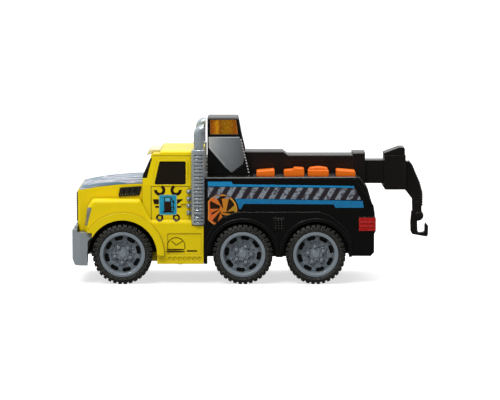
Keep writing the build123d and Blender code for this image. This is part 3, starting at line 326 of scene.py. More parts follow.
def slot_finishes():
    """A finish for each material slot of the record."""
    yellow = linear(240, 212, 2)
    black = linear(6, 5, 4)
    # The second colour given to moulded_plastic is the colour its edges turn to: scuffs and painted
    # highlight.
    return {
        "cab_yellow": moulded_plastic("cab_yellow", yellow, 0.24, linear(246, 232, 120), uneven=0.05,
                                      grain=0.06, round_mm=0.6, Specular_IOR_Level=0.25),
        "bed_black": moulded_plastic("bed_black", black, 0.24, linear(92, 90, 86), uneven=0.2, grain=0.08,
                                     round_mm=0.5, Specular_IOR_Level=0.4),
        "tyre_black": tyre_compound(),
        "rim_grey": flaked_plastic("rim_grey", linear(150, 161, 169), 0.3, 0.3),
        "bumper_silver": flaked_plastic("bumper_silver", linear(160, 169, 173), 0.32, 0.3),
        "stack_silver": flaked_plastic("stack_silver", linear(172, 183, 189), 0.28, 0.4),
        "axle_steel": steel(),
        "glass_black": moulded_plastic("glass_black", linear(24, 18, 6), 0.1, linear(70, 66, 58), grain=0.02,
                                       Specular_IOR_Level=0.3),
        "lamp_smoke": smoked_lamp(),
        "trim_black": moulded_plastic("trim_black", linear(32, 30, 28), 0.36, linear(96, 94, 90), uneven=0.2,
                                      Specular_IOR_Level=0.35),
        "visor_cream": moulded_plastic("visor_cream", linear(240, 231, 178), 0.26, linear(252, 248, 222),
                                       Coat_Weight=0.2, Coat_Roughness=0.1),
        "deck_grey": tread_plate(),
        "button_orange": moulded_plastic("button_orange", linear(255, 118, 16), 0.3, linear(255, 176, 110),
                                         Specular_IOR_Level=0.25),
        "pad_rubber": moulded_plastic("pad_rubber", linear(136, 136, 134), 0.6, grain=0.3),
        "board_green": circuit_laminate(),
        "speaker_black": moulded_plastic("speaker_black", linear(44, 44, 44), 0.55, grain=0.4),
        "lens_red": red_lens(),
        "lens_amber": amber_lens(),
        "boom_black": moulded_plastic("boom_black", linear(20, 16, 14), 0.3, linear(96, 90, 84), uneven=0.2,
                                      grain=0.15, round_mm=0.5, Specular_IOR_Level=0.4),
        "chassis_black": moulded_plastic("chassis_black", linear(34, 33, 32), 0.45, linear(84, 82, 80),
                                         uneven=0.2, grain=0.3, grain_mm=0.6, Specular_IOR_Level=0.35),
        "cell_jacket": battery_jacket(),
    }


def dress_nodes(finishes):
    """Gives every CAD node the finish of its slot."""
    for name, node in NODES.items():
        node.data.materials.clear()
        node.data.materials.append(finishes[SLOT_OF[name]].material)


# ---- Printed surfaces ---------------------------------------------------------------------------

RAY_ROOM = 0.05               # how far outside the truck the rays that find its surface start


class Skin:
    """The outer surface of a CAD node, found by rays cast at it from one side of the truck."""

    def __init__(self, node, side):
        mesh = NODES[node].data
        corners = [vertex.co.copy() for vertex in mesh.vertices]
        self.tree = BVHTree.FromPolygons(corners, [tuple(face.vertices) for face in mesh.polygons])
        self.side = side

    def point(self, x, z):
        """Where the ray at this X and Z, in metres, meets the surface."""
        start = Vector((x, self.side * (cad_high.y + RAY_ROOM), z))
        return self.tree.ray_cast(start, Vector((0, -self.side, 0)))[0]


def axle_line():
    """The drawing line's X: 7 mm behind the middle axle."""
    low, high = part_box("middle_axle")
    return (low.x + high.x) / 2 - 7 * MM


DRAWING_LINE = axle_line()
PRINT_LIFT = 0.10 * MM        # how far the printed film stands off the surface
LAYER_STEP = 0.06 * MM        # how far each layer of ink stands off the one below
PRINT_ROOT = 0.05 * MM        # how deep it is let in, so that no light shows behind it


def on_truck(x, z):
    """Millimetres from the drawing line and the ground, as metres in the frame."""
    return DRAWING_LINE + x * MM, z * MM


def finished_object(name, mesh_data, material):
    """Turns a bmesh into a piece that rides on the truck's body."""
    bmesh.ops.recalc_face_normals(mesh_data, faces=mesh_data.faces)
    mesh = bpy.data.meshes.new(name)
    mesh_data.to_mesh(mesh)
    mesh_data.free()
    mesh.materials.append(material)
    piece = bpy.data.objects.new(name, mesh)
    bpy.context.scene.collection.objects.link(piece)
    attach(piece, "truck")
    return piece


def film(name, outlines, skin, material, layer=0):
    """Thin printed film in the given outlines, laid on a flat side surface; layer lifts it over another."""
    mesh_data = bmesh.new()
    lift = PRINT_LIFT + layer * LAYER_STEP
    for outline in outlines:
        outer, inner = [], []
        for x, z in outline:
            hit = skin.point(*on_truck(x, z))
            outer.append(mesh_data.verts.new(hit + Vector((0, skin.side * lift, 0))))
            inner.append(mesh_data.verts.new(hit - Vector((0, skin.side * PRINT_ROOT, 0))))
        mesh_data.faces.new(outer)
        mesh_data.faces.new(inner[::-1])
        for index in range(len(outer)):
            after = (index + 1) % len(outer)
            mesh_data.faces.new((outer[index], inner[index], inner[after], outer[after]))
    finished_object(name, mesh_data, material)


def clipped(outline, zone):
    """The part of an outline inside a convex zone; both are lists of (x, z)."""
    area = sum(a[0] * b[1] - b[0] * a[1] for a, b in zip(zone, zone[1:] + zone[:1]))
    turn = 1 if area > 0 else -1
    for start, end in zip(zone, zone[1:] + zone[:1]):
        edge = Vector(end) - Vector(start)

        def inside(point):
            away = Vector(point) - Vector(start)
            return turn * (edge.x * away.y - edge.y * away.x)

        kept = []
        for here, there in zip(outline, outline[1:] + outline[:1]):
            depth_here, depth_there = inside(here), inside(there)
            if depth_here >= 0:
                kept.append(here)
            if depth_here * depth_there < 0:
                share = depth_here / (depth_here - depth_there)
                kept.append(tuple(Vector(here).lerp(Vector(there), share)))
        outline = kept
        if not outline:
            return []
    return outline


def arc(centre, radius, start, end, count):
    """Points on an arc, angles in degrees."""
    points = []
    for index in range(count + 1):
        angle = math.radians(start + (end - start) * index / count)
        points.append((centre[0] + radius * math.cos(angle), centre[1] + radius * math.sin(angle)))
    return points


def ring(centre, outer, inner, count=24):
    """A ring as two half outlines."""
    return [
        arc(centre, outer, 0, 180, count) + arc(centre, inner, 180, 0, count),
        arc(centre, outer, 180, 360, count) + arc(centre, inner, 360, 180, count),
    ]


def bar(start, end, width):
    """A straight bar between two points."""
    along = (Vector(end) - Vector(start)).normalized()
    across = Vector((-along.y, along.x)) * width / 2
    corners = [Vector(start) + across, Vector(end) + across, Vector(end) - across, Vector(start) - across]
    return [tuple(corner) for corner in corners]


def rounded_box(centre, half_x, half_z, radius, count=5):
    """Rectangle with rounded corners."""
    points = []
    for sign_x, sign_z, start in ((1, 1, 0), (-1, 1, 90), (-1, -1, 180), (1, -1, 270)):
        corner = (centre[0] + sign_x * (half_x - radius), centre[1] + sign_z * (half_z - radius))
        points += arc(corner, radius, start, start + 90, count)
    return points


def printed(name, colour, mottle=0.25, size_mm=3.0, roughness=0.3, **values):
    """Ink on film: mottled colour, fine grain, slight gloss."""
    finish = Finish(name, **values)
    pale, dark = scaled(colour, 1 + mottle), scaled(colour, 1 - mottle)
    finish.link(finish.mixed(finish.noise(size_mm, 5.0), dark, pale), "Base Color")
    finish.link(finish.spread(finish.noise(2.0, 3.0), roughness * 0.8, roughness * 1.2), "Roughness")
    finish.relief(finish.noise(0.4), 0.02, 0.1)
    return finish.material


def grunge_print(name, pale, dark, cover=0.45):
    """Ink worn away in patches."""
    finish = Finish(name, Specular_IOR_Level=0.35)
    patches = finish.spread(finish.noise(2.6, 5.0, distortion=0.3), 0.0, 1.0, cover - 0.05, cover + 0.05)
    tone = finish.mixed(finish.noise(1.2, 4.0), scaled(pale, 0.7), pale)
    finish.link(finish.mixed(patches, dark, tone), "Base Color")
    finish.link(finish.spread(finish.noise(2.0, 3.0), 0.28, 0.42), "Roughness")
    finish.relief(finish.noise(0.4), 0.02, 0.1)
    return finish.material


def gradient_print(name, start_mm, end_mm, stops, mottle=0.12, size_mm=2.0):
    """Ink that changes colour along the truck, between two places in millimetres from the drawing line."""
    finish = Finish(name, Roughness=0.3)
    start, end = DRAWING_LINE + start_mm * MM, DRAWING_LINE + end_mm * MM
    place = finish.spread(finish.along(0), 0.0, 1.0, start, end)
    shade = finish.ramp(place, stops)
    grey = finish.spread(finish.noise(size_mm, 5.0), 1 - mottle, 1 + mottle)
    tone = finish.add("CombineColor", {0: grey, 1: grey, 2: grey})
    finish.link(finish.mixed(1.0, shade, tone, "MULTIPLY"), "Base Color")
    finish.relief(finish.noise(0.4), 0.02, 0.1)
    return finish.material


def streaked_print(name, colour):
    """Silver ink with slanting white, rose and blue streaks."""
    finish = Finish(name, Specular_IOR_Level=0.15)
    lengthways = {"Vector": finish.where, "Rotation": (0.0, 0.0, -0.12), "Scale": (11, 1.6, 1.6)}
    slant = finish.add("Mapping", lengthways, vector_type="TEXTURE")
    place = finish.noise(4.0, 3.0, slant)
    streaks = finish.ramp(place, [
        (0.28, linear(70, 116, 134)), (0.40, scaled(colour, 0.9)), (0.48, scaled(colour, 1.1)),
        (0.54, linear(206, 206, 214)), (0.60, linear(126, 116, 130)), (0.68, linear(74, 134, 152)),
        (0.78, scaled(colour, 0.8)),
    ])
    finish.link(streaks, "Base Color")
    finish.link(finish.spread(finish.noise(2.0, 3.0), 0.45, 0.65), "Roughness")
    finish.relief(finish.noise(0.4), 0.02, 0.1)
    return finish.material


# Bed side print
BLUE_TOP = [(41.2, 100.9), (18.2, 100.9), (16.6, 98.4), (-101.8, 96.7), (-101.8, 94.8), (41.2, 96.4)]
STRIPE_ZONE = [(41.2, 95.8), (-102.2, 94.4), (-109.1, 83.0), (14.7, 84.2), (41.2, 84.5)]
BLUE_LOW = [
    (14.8, 84.2), (12.3, 79.4), (10.6, 73.7), (9.2, 73.8), (5.9, 79.1), (-81.8, 78.6), (-83.7, 75.3),
    (-111.4, 75.2), (-110.4, 82.0),
]
STRIPE_WIDTH, STRIPE_PITCH, STRIPE_LEAN = 5.6, 10.9, 6.2
STRIPE_BOTTOM, STRIPE_TOP = 82.5, 96.5
FIRST_STRIPE, LAST_STRIPE = 48.4, -112
STRIPE_LEAN_HEIGHT = 10.2      # the height over which a stripe leans by STRIPE_LEAN
DISC_CENTRE, DISC_R, DISC_FRONT = (28.1, 72.6), 15.7, 41.1
DISC_RIM = 0.9
BLADE_SWEEP = 46               # degrees from a blade's outer edge round to its inner one
# Each blade of the emblem: start angle and width in degrees, outer and inner radius.
EMBLEM_BLADES = [(8, 34, 13.8, 4.0), (70, 22, 12.4, 2.6), (122, 36, 13.9, 5.2), (182, 16, 12.8, 2.4),
                 (226, 34, 12.4, 3.6), (288, 24, 13.4, 2.8), (334, 14, 12.2, 4.4)]
FLARE_ROOM = 0.4
FLARE_TOP = [(44.8, 40), (42.6, 46), (37.2, 55.7), (27.4, 65.4), (14.7, 70.2), (9.8, 71.0), (-10, 71.0)]


def stripes():
    """Slanted hazard stripes, cut to their zone."""
    lean = STRIPE_LEAN * (STRIPE_TOP - STRIPE_BOTTOM) / STRIPE_LEAN_HEIGHT
    made = []
    x = FIRST_STRIPE
    while x > LAST_STRIPE:
        stripe = [
            (x, STRIPE_BOTTOM), (x - STRIPE_WIDTH, STRIPE_BOTTOM),
            (x - STRIPE_WIDTH - lean, STRIPE_TOP), (x - lean, STRIPE_TOP),
        ]
        inside = clipped(stripe, STRIPE_ZONE)
        if inside:
            made.append(inside)
        x -= STRIPE_PITCH
    return made


def above_flare(x, z):
    """True above the top line of the wheel flare, with a hair's room."""
    for (x0, z0), (x1, z1) in zip(FLARE_TOP, FLARE_TOP[1:]):
        if x1 <= x <= x0:
            return z > z0 + (z1 - z0) * (x - x0) / (x1 - x0) + FLARE_ROOM
    return True


def disc_reach(angle, radius):
    """How far the round emblem runs from its centre at an angle: up to radius, the front cut or the flare."""
    reach = radius
    while reach > 0.5:
        x = DISC_CENTRE[0] + reach * math.cos(angle)
        z = DISC_CENTRE[1] + reach * math.sin(angle)
        if x < DISC_FRONT - (DISC_R - radius) and above_flare(x, z):
            break
        reach -= 0.1
    return reach


def disc_band(outer, inner, start_deg, end_deg, twist_deg=0.0, count=24):
    """Part of the emblem between two radii; the inner edge may be turned by twist_deg."""
    outside, inside = [], []
    for index in range(count + 1):
        angle = math.radians(start_deg + (end_deg - start_deg) * index / count)
        turned = angle + math.radians(twist_deg)
        far = disc_reach(angle, outer)
        near = min(inner, disc_reach(turned, inner))
        outside.append((DISC_CENTRE[0] + far * math.cos(angle), DISC_CENTRE[1] + far * math.sin(angle)))
        inside.append((DISC_CENTRE[0] + near * math.cos(turned), DISC_CENTRE[1] + near * math.sin(turned)))
    return outside + inside[::-1]


def emblem_blades():
    """Dark swept blades of the emblem, uneven like a worn fan."""
    blades = []
    for start, width, outer, inner in EMBLEM_BLADES:
        blades.append(disc_band(outer, inner, start, start + width, BLADE_SWEEP, 8))
    return blades


def bed_prints(side_name):
    """Blue bands, hazard stripes and the round emblem on one side of the bed."""
    skin = Skin("bed_shell", SIDES[side_name])
    film(f"{side_name}_bed_blue_band", [BLUE_TOP], skin, INK["blue"])
    film(f"{side_name}_bed_low_band", [BLUE_LOW], skin, INK["blue_dark"])
    film(f"{side_name}_bed_stripe_ground", [STRIPE_ZONE], skin, INK["ground"])
    film(f"{side_name}_bed_stripes", stripes(), skin, INK["stripe"], layer=1)
    film(f"{side_name}_bed_disc", [disc_band(DISC_R, 0.1, 0, 360, count=72)], skin, INK["disc"])
    rim = [disc_band(DISC_R, DISC_R - DISC_RIM, start, start + 60) for start in range(0, 360, 60)]
    film(f"{side_name}_disc_rim", rim, skin, INK["emblem_rim"], layer=1)
    film(f"{side_name}_disc_blades", emblem_blades(), skin, INK["ink"], layer=1)


# Door badge
BADGE_CENTRE = (80.4, 77.8)
BADGE_HALF = (8.8, 10.0)
BADGE_EDGE = 0.8
JAWS = [((88.4, 92.2), 60), ((72.4, 92.2), 120)]      # centre of each spanner jaw, and where it opens to
JAW_R, JAW_THROAT_R = 5.5, 2.6
EYES = [(88.6, 65.1), (72.2, 65.1)]
EYE_R, EYE_HOLE_R = 3.6, 1.8
SIDE_BARS = [
    [(95.2, 83.3), (89.4, 83.3), (89.4, 78.4), (93.8, 78.4)],
    [(93.0, 76.8), (89.4, 76.8), (89.4, 74.8), (92.7, 74.8)],
]


def opposite(outline):
    """An outline of the badge, on the other side of its upright middle line."""
    return [(2 * BADGE_CENTRE[0] - x, z) for x, z in outline]


def badge_spanners():
    """Two crossed spanners behind the badge: jaws above, ring ends below, bars to the sides."""
    outlines = []
    for centre, opening in JAWS:
        start, end = opening + 55, opening + 305
        outlines.append(arc(centre, JAW_R, start, end, 20) + arc(centre, JAW_THROAT_R, end, start, 20))
    for centre in EYES:
        outlines += ring(centre, EYE_R, EYE_HOLE_R)
        x, z = centre
        lean = 1.6 if x < BADGE_CENTRE[0] else -1.6
        outlines.append(bar((x + lean, z + 2.4), (x + lean * 1.4, z + 4.2), 3.4))
    return outlines + SIDE_BARS + [opposite(outline) for outline in SIDE_BARS]


HOSE_WIDTH = 0.9


def pump_icon():
    """Plain fuel pump: body, base, hose and nozzle."""
    x, z = BADGE_CENTRE
    body = [(x + 3.8, z + 7.8), (x + 3.8, z - 6.6), (x - 3.2, z - 6.6), (x - 3.2, z + 7.8)]
    foot = [(x + 5.0, z - 6.2), (x + 5.0, z - 7.6), (x - 5.4, z - 7.6), (x - 5.4, z - 6.2)]
    hose = [
        bar((x - 3.0, z + 6.6), (x - 5.2, z + 3.6), HOSE_WIDTH),
        bar((x - 5.2, z + 3.9), (x - 5.2, z - 3.4), HOSE_WIDTH),
    ]
    nozzle = arc((x - 5.2, z + 3.0), 1.2, 0, 330, 10)
    return [body, foot, nozzle] + hose + ring((x - 4.4, z - 3.6), 1.9, 1.0, 10)


def door_badge(side_name):
    """Blue badge with a fuel pump over crossed spanners, on the door."""
    skin = Skin("cab_shell", SIDES[side_name])
    x, z = BADGE_CENTRE
    half_x, half_z = BADGE_HALF
    film(f"{side_name}_door_spanners", badge_spanners(), skin, INK["ink"])
    edge = rounded_box(BADGE_CENTRE, half_x, half_z, 1.6)
    face = rounded_box(BADGE_CENTRE, half_x - BADGE_EDGE, half_z - BADGE_EDGE, 1.2)
    film(f"{side_name}_badge_edge", [edge], skin, INK["badge_edge"], layer=1)
    film(f"{side_name}_badge", [face], skin, INK["badge"], layer=2)
    film(f"{side_name}_badge_pump", pump_icon(), skin, INK["ink"], layer=3)
    window = rounded_box((x + 0.3, z + 5.2), 2.5, 1.8, 0.4)
    film(f"{side_name}_badge_window", [window], skin, INK["badge_window"], layer=4)


# Clock on the step
CLOCK_CENTRE, CLOCK_R, CLOCK_LINE = (72.4, 37.2), 9.0, 0.7


def step_clock(side_name):
    """Plain clock face with two hands above level bars, on the step panel."""
    skin = Skin("cab_shell", SIDES[side_name])
    x, z = CLOCK_CENTRE
    face = arc(CLOCK_CENTRE, CLOCK_R, -18, 198, 32) + arc(CLOCK_CENTRE, CLOCK_R - CLOCK_LINE, 198, -18, 32)
    pivot = (x, z + 1.2)
    hands = [bar(pivot, (x + 4.6, z + 5.4), CLOCK_LINE), bar(pivot, (x - 6.2, z + 5.0), CLOCK_LINE)]
    bars = [
        bar((x + 9.2, z - 3.2), (x - 7.6, z - 3.2), 1.1),
        bar((x + 9.8, z - 5.2), (x - 8.4, z - 5.2), 1.1),
        bar((x - 10.4, z - 4.6), (x - 20.6, z - 4.6), 1.4),
    ]
    film(f"{side_name}_step_clock", [face] + hands + bars, skin, INK["ink"])


# Tower side
TOWER_PANEL = [
    (41.0, 142.4), (10.4, 142.4), (5.4, 121.5), (6.9, 116.6), (18.8, 107.6), (24.7, 112.6), (40.7, 131.4),
]
TOWER_RAKE = 0.2333            # how far the tower's rear edge leans forward per millimetre of height
TOWER_FOOT = (0.1, 105.2)      # the lower end of the hatched strip, beside the rear edge
HATCHES, FIRST_HATCH, HATCH_PITCH = 12, 106.6, 2.9


def ragged(start, end, depth, count):
    """Points along a line, every other one let in, for a torn edge."""
    points = []
    way = Vector(end) - Vector(start)
    inward = Vector((-way.y, way.x)).normalized() * depth
    for index in range(1, count):
        place = Vector(start) + way * index / count
        points.append(tuple(place + inward * (index % 2)))
    return points


def tower_panel(side_name):
    """Grey panel with a torn lower edge, lighter at the front and darker at the rear as painted reflection;
    pale painted highlights along its top and slanted edges, and a hatched strip of painted highlights down
    the tower's rear edge.
    """
    skin = Skin("light_tower", SIDES[side_name])
    torn = TOWER_PANEL[:4] + ragged(TOWER_PANEL[3], TOWER_PANEL[4], -1.3, 12) + TOWER_PANEL[4:]
    film(f"{side_name}_tower_panel", [torn], skin, INK["tower"])
    # Painted highlights: pale lines along the panel's top and slanted edges.
    edges = [bar((40.8, 142.0), (10.6, 142.0), 0.8), bar((40.3, 133.2), (24.6, 114.8), 0.6)]
    film(f"{side_name}_tower_edges", edges, skin, INK["tower_edge"], layer=1)
    # Painted highlights: pale hatch marks down the tower's rounded rear edge.
    hatches = []
    for index in range(HATCHES):
        z = FIRST_HATCH + HATCH_PITCH * index
        x = TOWER_FOOT[0] + (z - TOWER_FOOT[1]) * TOWER_RAKE
        hatches.append([(x, z), (x + 1.5, z + 0.6), (x + 1.9, z + 2.0), (x + 0.4, z + 1.4)])
    film(f"{side_name}_tower_hatches", hatches, skin, INK["hatch"])


# Hood
HOOD_AXIS_Z = 60.0
HOOD_GRID = (44, 110)          # faces along the hood and round it
# Stations along the hood, and how many degrees round it the print reaches there, from straight up.
HOOD_REACH = [(105.6, 46.0), (127.9, 46.6), (147.6, 48.2), (168.2, 51.2)]


def hood_reach(x):
    """Reach of the hood print at a station, between the listed ones."""
    for (x0, reach0), (x1, reach1) in zip(HOOD_REACH, HOOD_REACH[1:]):
        if x <= x1:
            break
    return reach0 + (reach1 - reach0) * (x - x0) / (x1 - x0)


def hood_print():
    """Streaked silver print over the top of the hood and its shoulders."""
    skin = Skin("cab_shell", 1)
    columns, rows = HOOD_GRID
    mesh_data = bmesh.new()
    grid = []
    for column in range(columns + 1):
        station = HOOD_REACH[0][0] + (HOOD_REACH[-1][0] - HOOD_REACH[0][0]) * column / columns
        reach = math.radians(hood_reach(station))
        x, axis_z = on_truck(station, HOOD_AXIS_Z)
        line = []
        for row in range(rows + 1):
            angle = reach * (2 * row / rows - 1)
            outward = Vector((0, math.sin(angle), math.cos(angle)))
            hit, _, _, _ = skin.tree.ray_cast(Vector((x, 0, axis_z)) + outward * 0.1, -outward)
            line.append((mesh_data.verts.new(hit + outward * PRINT_LIFT),
                         mesh_data.verts.new(hit - outward * PRINT_ROOT)))
        grid.append(line)
    for here, there in zip(grid, grid[1:]):
        for row in range(rows):
            for layer in (0, 1):
                mesh_data.faces.new((here[row][layer], here[row + 1][layer],
                                     there[row + 1][layer], there[row][layer]))
    rim = [line[0] for line in grid] + grid[-1][1:] + [line[-1] for line in grid[-2::-1]] + grid[0][-2:0:-1]
    for here, there in zip(rim, rim[1:] + rim[:1]):
        mesh_data.faces.new((here[0], there[0], there[1], here[1]))
    print_piece = finished_object("hood_print", mesh_data, INK["hood"])
    for face in print_piece.data.polygons:
        face.use_smooth = True


# Painted highlights on small moulded details
RIVET_ORIGIN, RIVET_PITCH = (-31.0, 55.4), (3.0, 2.6)
RIVET_COLUMNS, RIVET_ROWS, RIVET_TIP_R = 3, 4, 0.42
VENT_GLINTS = [(126.3, 86.6), (121.2, 86.9), (115.6, 87.2)]


def trim_highlights(side_name):
    """Painted highlights: pale dots on the tips of the bed's rivets, and pale glints at the lower ends of the
    hood vent's slots.
    """
    bed = Skin("bed_shell", SIDES[side_name])
    dots = []
    for column in range(RIVET_COLUMNS):
        for row in range(RIVET_ROWS):
            centre = (RIVET_ORIGIN[0] + RIVET_PITCH[0] * column, RIVET_ORIGIN[1] + RIVET_PITCH[1] * row)
            dots.append(arc(centre, RIVET_TIP_R, 0, 330, 11))
    film(f"{side_name}_rivet_tips", dots, bed, INK["rivet"])
    vent = Skin(f"{side_name}_hood_vent", SIDES[side_name])
    glints = []
    for x, z in VENT_GLINTS:
        glints.append([(x + 1.5, z), (x - 1.5, z + 0.1), (x - 1.7, z + 0.9), (x + 1.3, z + 0.8)])
    film(f"{side_name}_vent_glints", glints, vent, INK["vent_glint"])


# Front wheel wells: a dark sheet of painted shade inside each
WELL_R = 33.9
SHADE_SHEET_R = 33.3
SHADE_SHEET_HOLE_R = 14.0
SHADE_SHEET_WALL = 0.4
SHADE_SHEET_Y = (31.6, 51.0)
SHADE_SHEET_STEPS = 48


def well_painted_shade(side_name):
    """Painted shade in a front wheel well: a dark thin half drum with its back plate, put where the well lies
    in shadow.
    """
    side = SIDES[side_name]
    low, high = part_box("front_axle")
    centre_x, centre_z = (low.x + high.x) / 2, (low.z + high.z) / 2
    mesh_data = bmesh.new()

    def corner(radius, y, angle):
        return mesh_data.verts.new((centre_x + radius * MM * math.cos(angle), side * y * MM,
                                    centre_z + radius * MM * math.sin(angle)))

    inner_y, outer_y = SHADE_SHEET_Y
    back_y = inner_y + SHADE_SHEET_WALL
    profile = [
        (SHADE_SHEET_HOLE_R, inner_y), (WELL_R, inner_y), (WELL_R, outer_y),
        (SHADE_SHEET_R, outer_y), (SHADE_SHEET_R, back_y), (SHADE_SHEET_HOLE_R, back_y),
    ]
    sections = []
    for step in range(SHADE_SHEET_STEPS + 1):
        angle = math.pi * step / SHADE_SHEET_STEPS
        sections.append([corner(radius, y, angle) for radius, y in profile])
    for here, there in zip(sections, sections[1:]):
        for index in range(len(profile)):
            after = (index + 1) % len(profile)
            mesh_data.faces.new((here[index], here[after], there[after], there[index]))
    mesh_data.faces.new(sections[0])
    mesh_data.faces.new(sections[-1][::-1])
    finished_object(f"{side_name}_well_painted_shade", mesh_data, INK["well_shade"])


def mirrored_pair(build):
    """Runs a builder for the left side and the right side."""
    for side_name in SIDES:
        build(side_name)


# Grey print of the tower panel with a painted reflection: lighter at the front, darker at the rear.
TOWER_PAINTED_REFLECTION_TONES = [
    (0.0, linear(186, 190, 194)), (0.35, linear(140, 146, 151)),
    (0.7, linear(112, 117, 121)), (1.0, linear(84, 86, 89)),
]
DISC_TONES = [(0.0, linear(232, 92, 40)), (0.45, linear(214, 120, 30)), (1.0, linear(176, 150, 26))]
INK = {
    "blue": printed("ink_blue", linear(8, 138, 196), 0.3, 3.5),
    "blue_dark": printed("ink_blue_low", linear(10, 118, 172), 0.4, 2.6),
    "ground": printed("ink_ground", linear(44, 38, 44), 0.4, 3.0, Specular_IOR_Level=0.35),
    "stripe": grunge_print("ink_stripe", linear(150, 158, 168), linear(78, 76, 84)),
    "ink": printed("ink_dark", linear(44, 26, 10), 0.3, 1.6, Specular_IOR_Level=0.25),
    "vent_glint": printed("ink_vent_glint", linear(206, 198, 186), 0.2, 1.0, Specular_IOR_Level=0.3),
    "rivet": printed("rivet_painted_highlight", linear(96, 96, 92), 0.3, 1.0, Specular_IOR_Level=0.4),
    # Dark brown painted shade for the insides of the front wheel wells.
    "well_shade": printed("well_painted_shade", linear(44, 24, 6), 0.3, 4.0, 0.5, Specular_IOR_Level=0.2),
    "badge": printed("ink_badge", linear(28, 150, 186), 0.35, 3.2, Specular_IOR_Level=0.25),
    "badge_edge": printed("ink_badge_edge", linear(136, 176, 160), 0.25, 2.0, Specular_IOR_Level=0.25),
    "badge_window": printed("ink_badge_window", linear(92, 178, 202), 0.2, 2.0, Specular_IOR_Level=0.25),
    "emblem_rim": printed("ink_emblem_rim", linear(240, 150, 60), 0.3, 2.0, Specular_IOR_Level=0.25),
    "hatch": printed("tower_hatch_painted_highlight", linear(206, 208, 210), 0.2, 1.2, Specular_IOR_Level=0.3),
    "hood": streaked_print("ink_hood", linear(112, 131, 142)),
    # Grey print with a painted reflection: lighter at the front, darker at the rear.
    "tower": gradient_print("tower_ink_and_painted_reflection", 42.0, 3.0, TOWER_PAINTED_REFLECTION_TONES, mottle=0.08, size_mm=1.0),
    "tower_edge": printed("tower_edge_painted_highlight", linear(200, 204, 208), 0.15, 1.0, Specular_IOR_Level=0.3),
    "disc": gradient_print("ink_disc", 43.0, 12.0, DISC_TONES),
}


# ---- Stage --------------------------------------------------------------------------------------


def lit_world():
    """Even white studio: bright above and behind, dim in front, pure white to the camera."""
    world = bpy.data.worlds.new("studio")
    bpy.context.scene.world = world
    world.use_nodes = True
    nodes, links = world.node_tree.nodes, world.node_tree.links
    nodes.clear()

    def add(kind, inputs, output=0, **settings):
        node = nodes.new("ShaderNode" + kind)
        for setting, value in settings.items():
            setattr(node, setting, value)
        for key, value in inputs.items():
            if isinstance(value, bpy.types.NodeSocket):
                links.new(value, node.inputs[key])
            else:
                node.inputs[key].default_value = value
        return node.outputs[output]

    direction = nodes.new("ShaderNodeTexCoord").outputs["Generated"]
    split = nodes.new("ShaderNodeSeparateXYZ")
    links.new(direction, split.inputs[0])
    front = add("MapRange", {"Value": split.outputs["Y"], 1: -0.3, 2: 0.5, 3: 2.0, 4: 0.6})
    above = add("MapRange", {"Value": split.outputs["Z"], 1: 0.0, 2: 0.8, 3: 0.3, 4: 0.68})
    strength = add("Math", {0: front, 1: above}, operation="MULTIPLY")
    soft = add("Background", {"Color": (1.0, 1.0, 1.0, 1.0), "Strength": strength})
    plain = add("Background", {"Color": (1.0, 1.0, 1.0, 1.0), "Strength": 1.0})
    seen = nodes.new("ShaderNodeLightPath").outputs["Is Camera Ray"]
    mixed = add("MixShader", {0: seen, 1: soft, 2: plain})
    output = nodes.new("ShaderNodeOutputWorld")
    links.new(mixed, output.inputs["Surface"])


def floor_paper():
    """White paper with a faint shadow; it throws back less light than it shows, least in mirror rays."""
    material = bpy.data.materials.new("floor_paper")
    material.use_nodes = True
    nodes, links = material.node_tree.nodes, material.node_tree.links
    nodes.clear()
    glow = nodes.new("ShaderNodeEmission")
    glow.inputs["Strength"].default_value = 0.66
    shaded = nodes.new("ShaderNodeBsdfDiffuse")
    shaded.inputs["Color"].default_value = (0.5, 0.5, 0.5, 1.0)
    seen = nodes.new("ShaderNodeAddShader")
    links.new(glow.outputs[0], seen.inputs[0])
    links.new(shaded.outputs[0], seen.inputs[1])
    ray = nodes.new("ShaderNodeLightPath").outputs
    tone = nodes.new("ShaderNodeMix")
    tone.data_type = "RGBA"
    tone.inputs[6].default_value = (0.4, 0.4, 0.4, 1.0)
    tone.inputs[7].default_value = (0.07, 0.07, 0.07, 1.0)
    links.new(ray["Is Glossy Ray"], tone.inputs[0])
    bounced = nodes.new("ShaderNodeBsdfDiffuse")
    links.new(tone.outputs[2], bounced.inputs["Color"])
    chosen = nodes.new("ShaderNodeMixShader")
    links.new(ray["Is Camera Ray"], chosen.inputs[0])
    links.new(bounced.outputs[0], chosen.inputs[1])
    links.new(seen.outputs[0], chosen.inputs[2])
    output = nodes.new("ShaderNodeOutputMaterial")
    links.new(chosen.outputs[0], output.inputs["Surface"])
    return material


FLOOR_R = 60.0


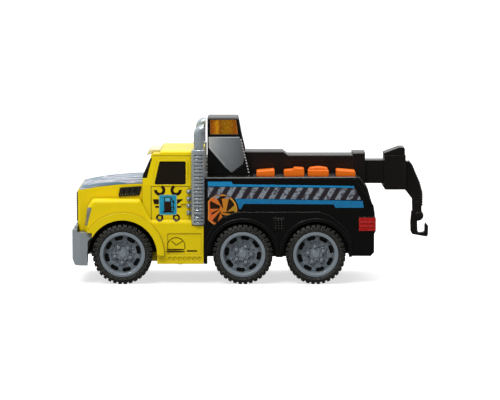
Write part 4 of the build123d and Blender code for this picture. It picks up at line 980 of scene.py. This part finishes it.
def floor():
    """Pale floor, large enough to fill every view."""
    mesh_data = bmesh.new()
    bmesh.ops.create_circle(mesh_data, cap_ends=True, segments=64, radius=FLOOR_R)
    mesh = bpy.data.meshes.new("floor")
    mesh_data.to_mesh(mesh)
    mesh_data.free()
    mesh.materials.append(floor_paper())
    piece = bpy.data.objects.new("floor", mesh)
    bpy.context.scene.collection.objects.link(piece)


def soft_light(name, location, target, size, watts):
    """Square soft box aimed at a point."""
    light = bpy.data.lights.new(name, "AREA")
    light.shape = "SQUARE"
    light.size = size
    light.energy = watts
    lamp = bpy.data.objects.new(name, light)
    bpy.context.scene.collection.objects.link(lamp)
    lamp.location = location
    lamp.rotation_mode = "QUATERNION"
    lamp.rotation_quaternion = (Vector(target) - Vector(location)).to_track_quat("-Z", "Y")


CAMERA_DISTANCE = 2.5
CAMERA_HEIGHT_DEG = 6.0
CAMERA_LENS = 180
CAMERA_TARGET = (DRAWING_LINE, 0.0, 77.3 * MM)


def camera():
    """Level view of the left side, from slightly above."""
    lens = bpy.data.cameras.new("camera")
    lens.lens = CAMERA_LENS
    lens.sensor_width = 36
    lens.clip_end = 200
    viewer = bpy.data.objects.new("camera", lens)
    bpy.context.scene.collection.objects.link(viewer)
    rise = math.radians(CAMERA_HEIGHT_DEG)
    back = Vector((0, math.cos(rise), math.sin(rise)))
    viewer.location = Vector(CAMERA_TARGET) + back * CAMERA_DISTANCE
    viewer.rotation_mode = "QUATERNION"
    viewer.rotation_quaternion = (-back).to_track_quat("-Z", "Y")
    bpy.context.scene.camera = viewer


def stage():
    """Studio, floor, lights and camera, shown in plain screen colours."""
    bpy.context.scene.view_settings.view_transform = "Standard"
    lit_world()
    floor()
    soft_light("key", (0.8, 1.3, 1.9), (0, 0, 0.05), 0.8, 30)
    soft_light("back", (-0.4, -1.2, 1.6), (0, 0, 0.08), 1.6, 12)
    soft_light("top", (-0.05, 0.12, 1.3), (-0.05, 0.05, 0), 0.34, 3)
    camera()


dress_nodes(slot_finishes())
mirrored_pair(bed_prints)
mirrored_pair(door_badge)
mirrored_pair(step_clock)
mirrored_pair(tower_panel)
mirrored_pair(trim_highlights)
mirrored_pair(well_painted_shade)
hood_print()
stage()
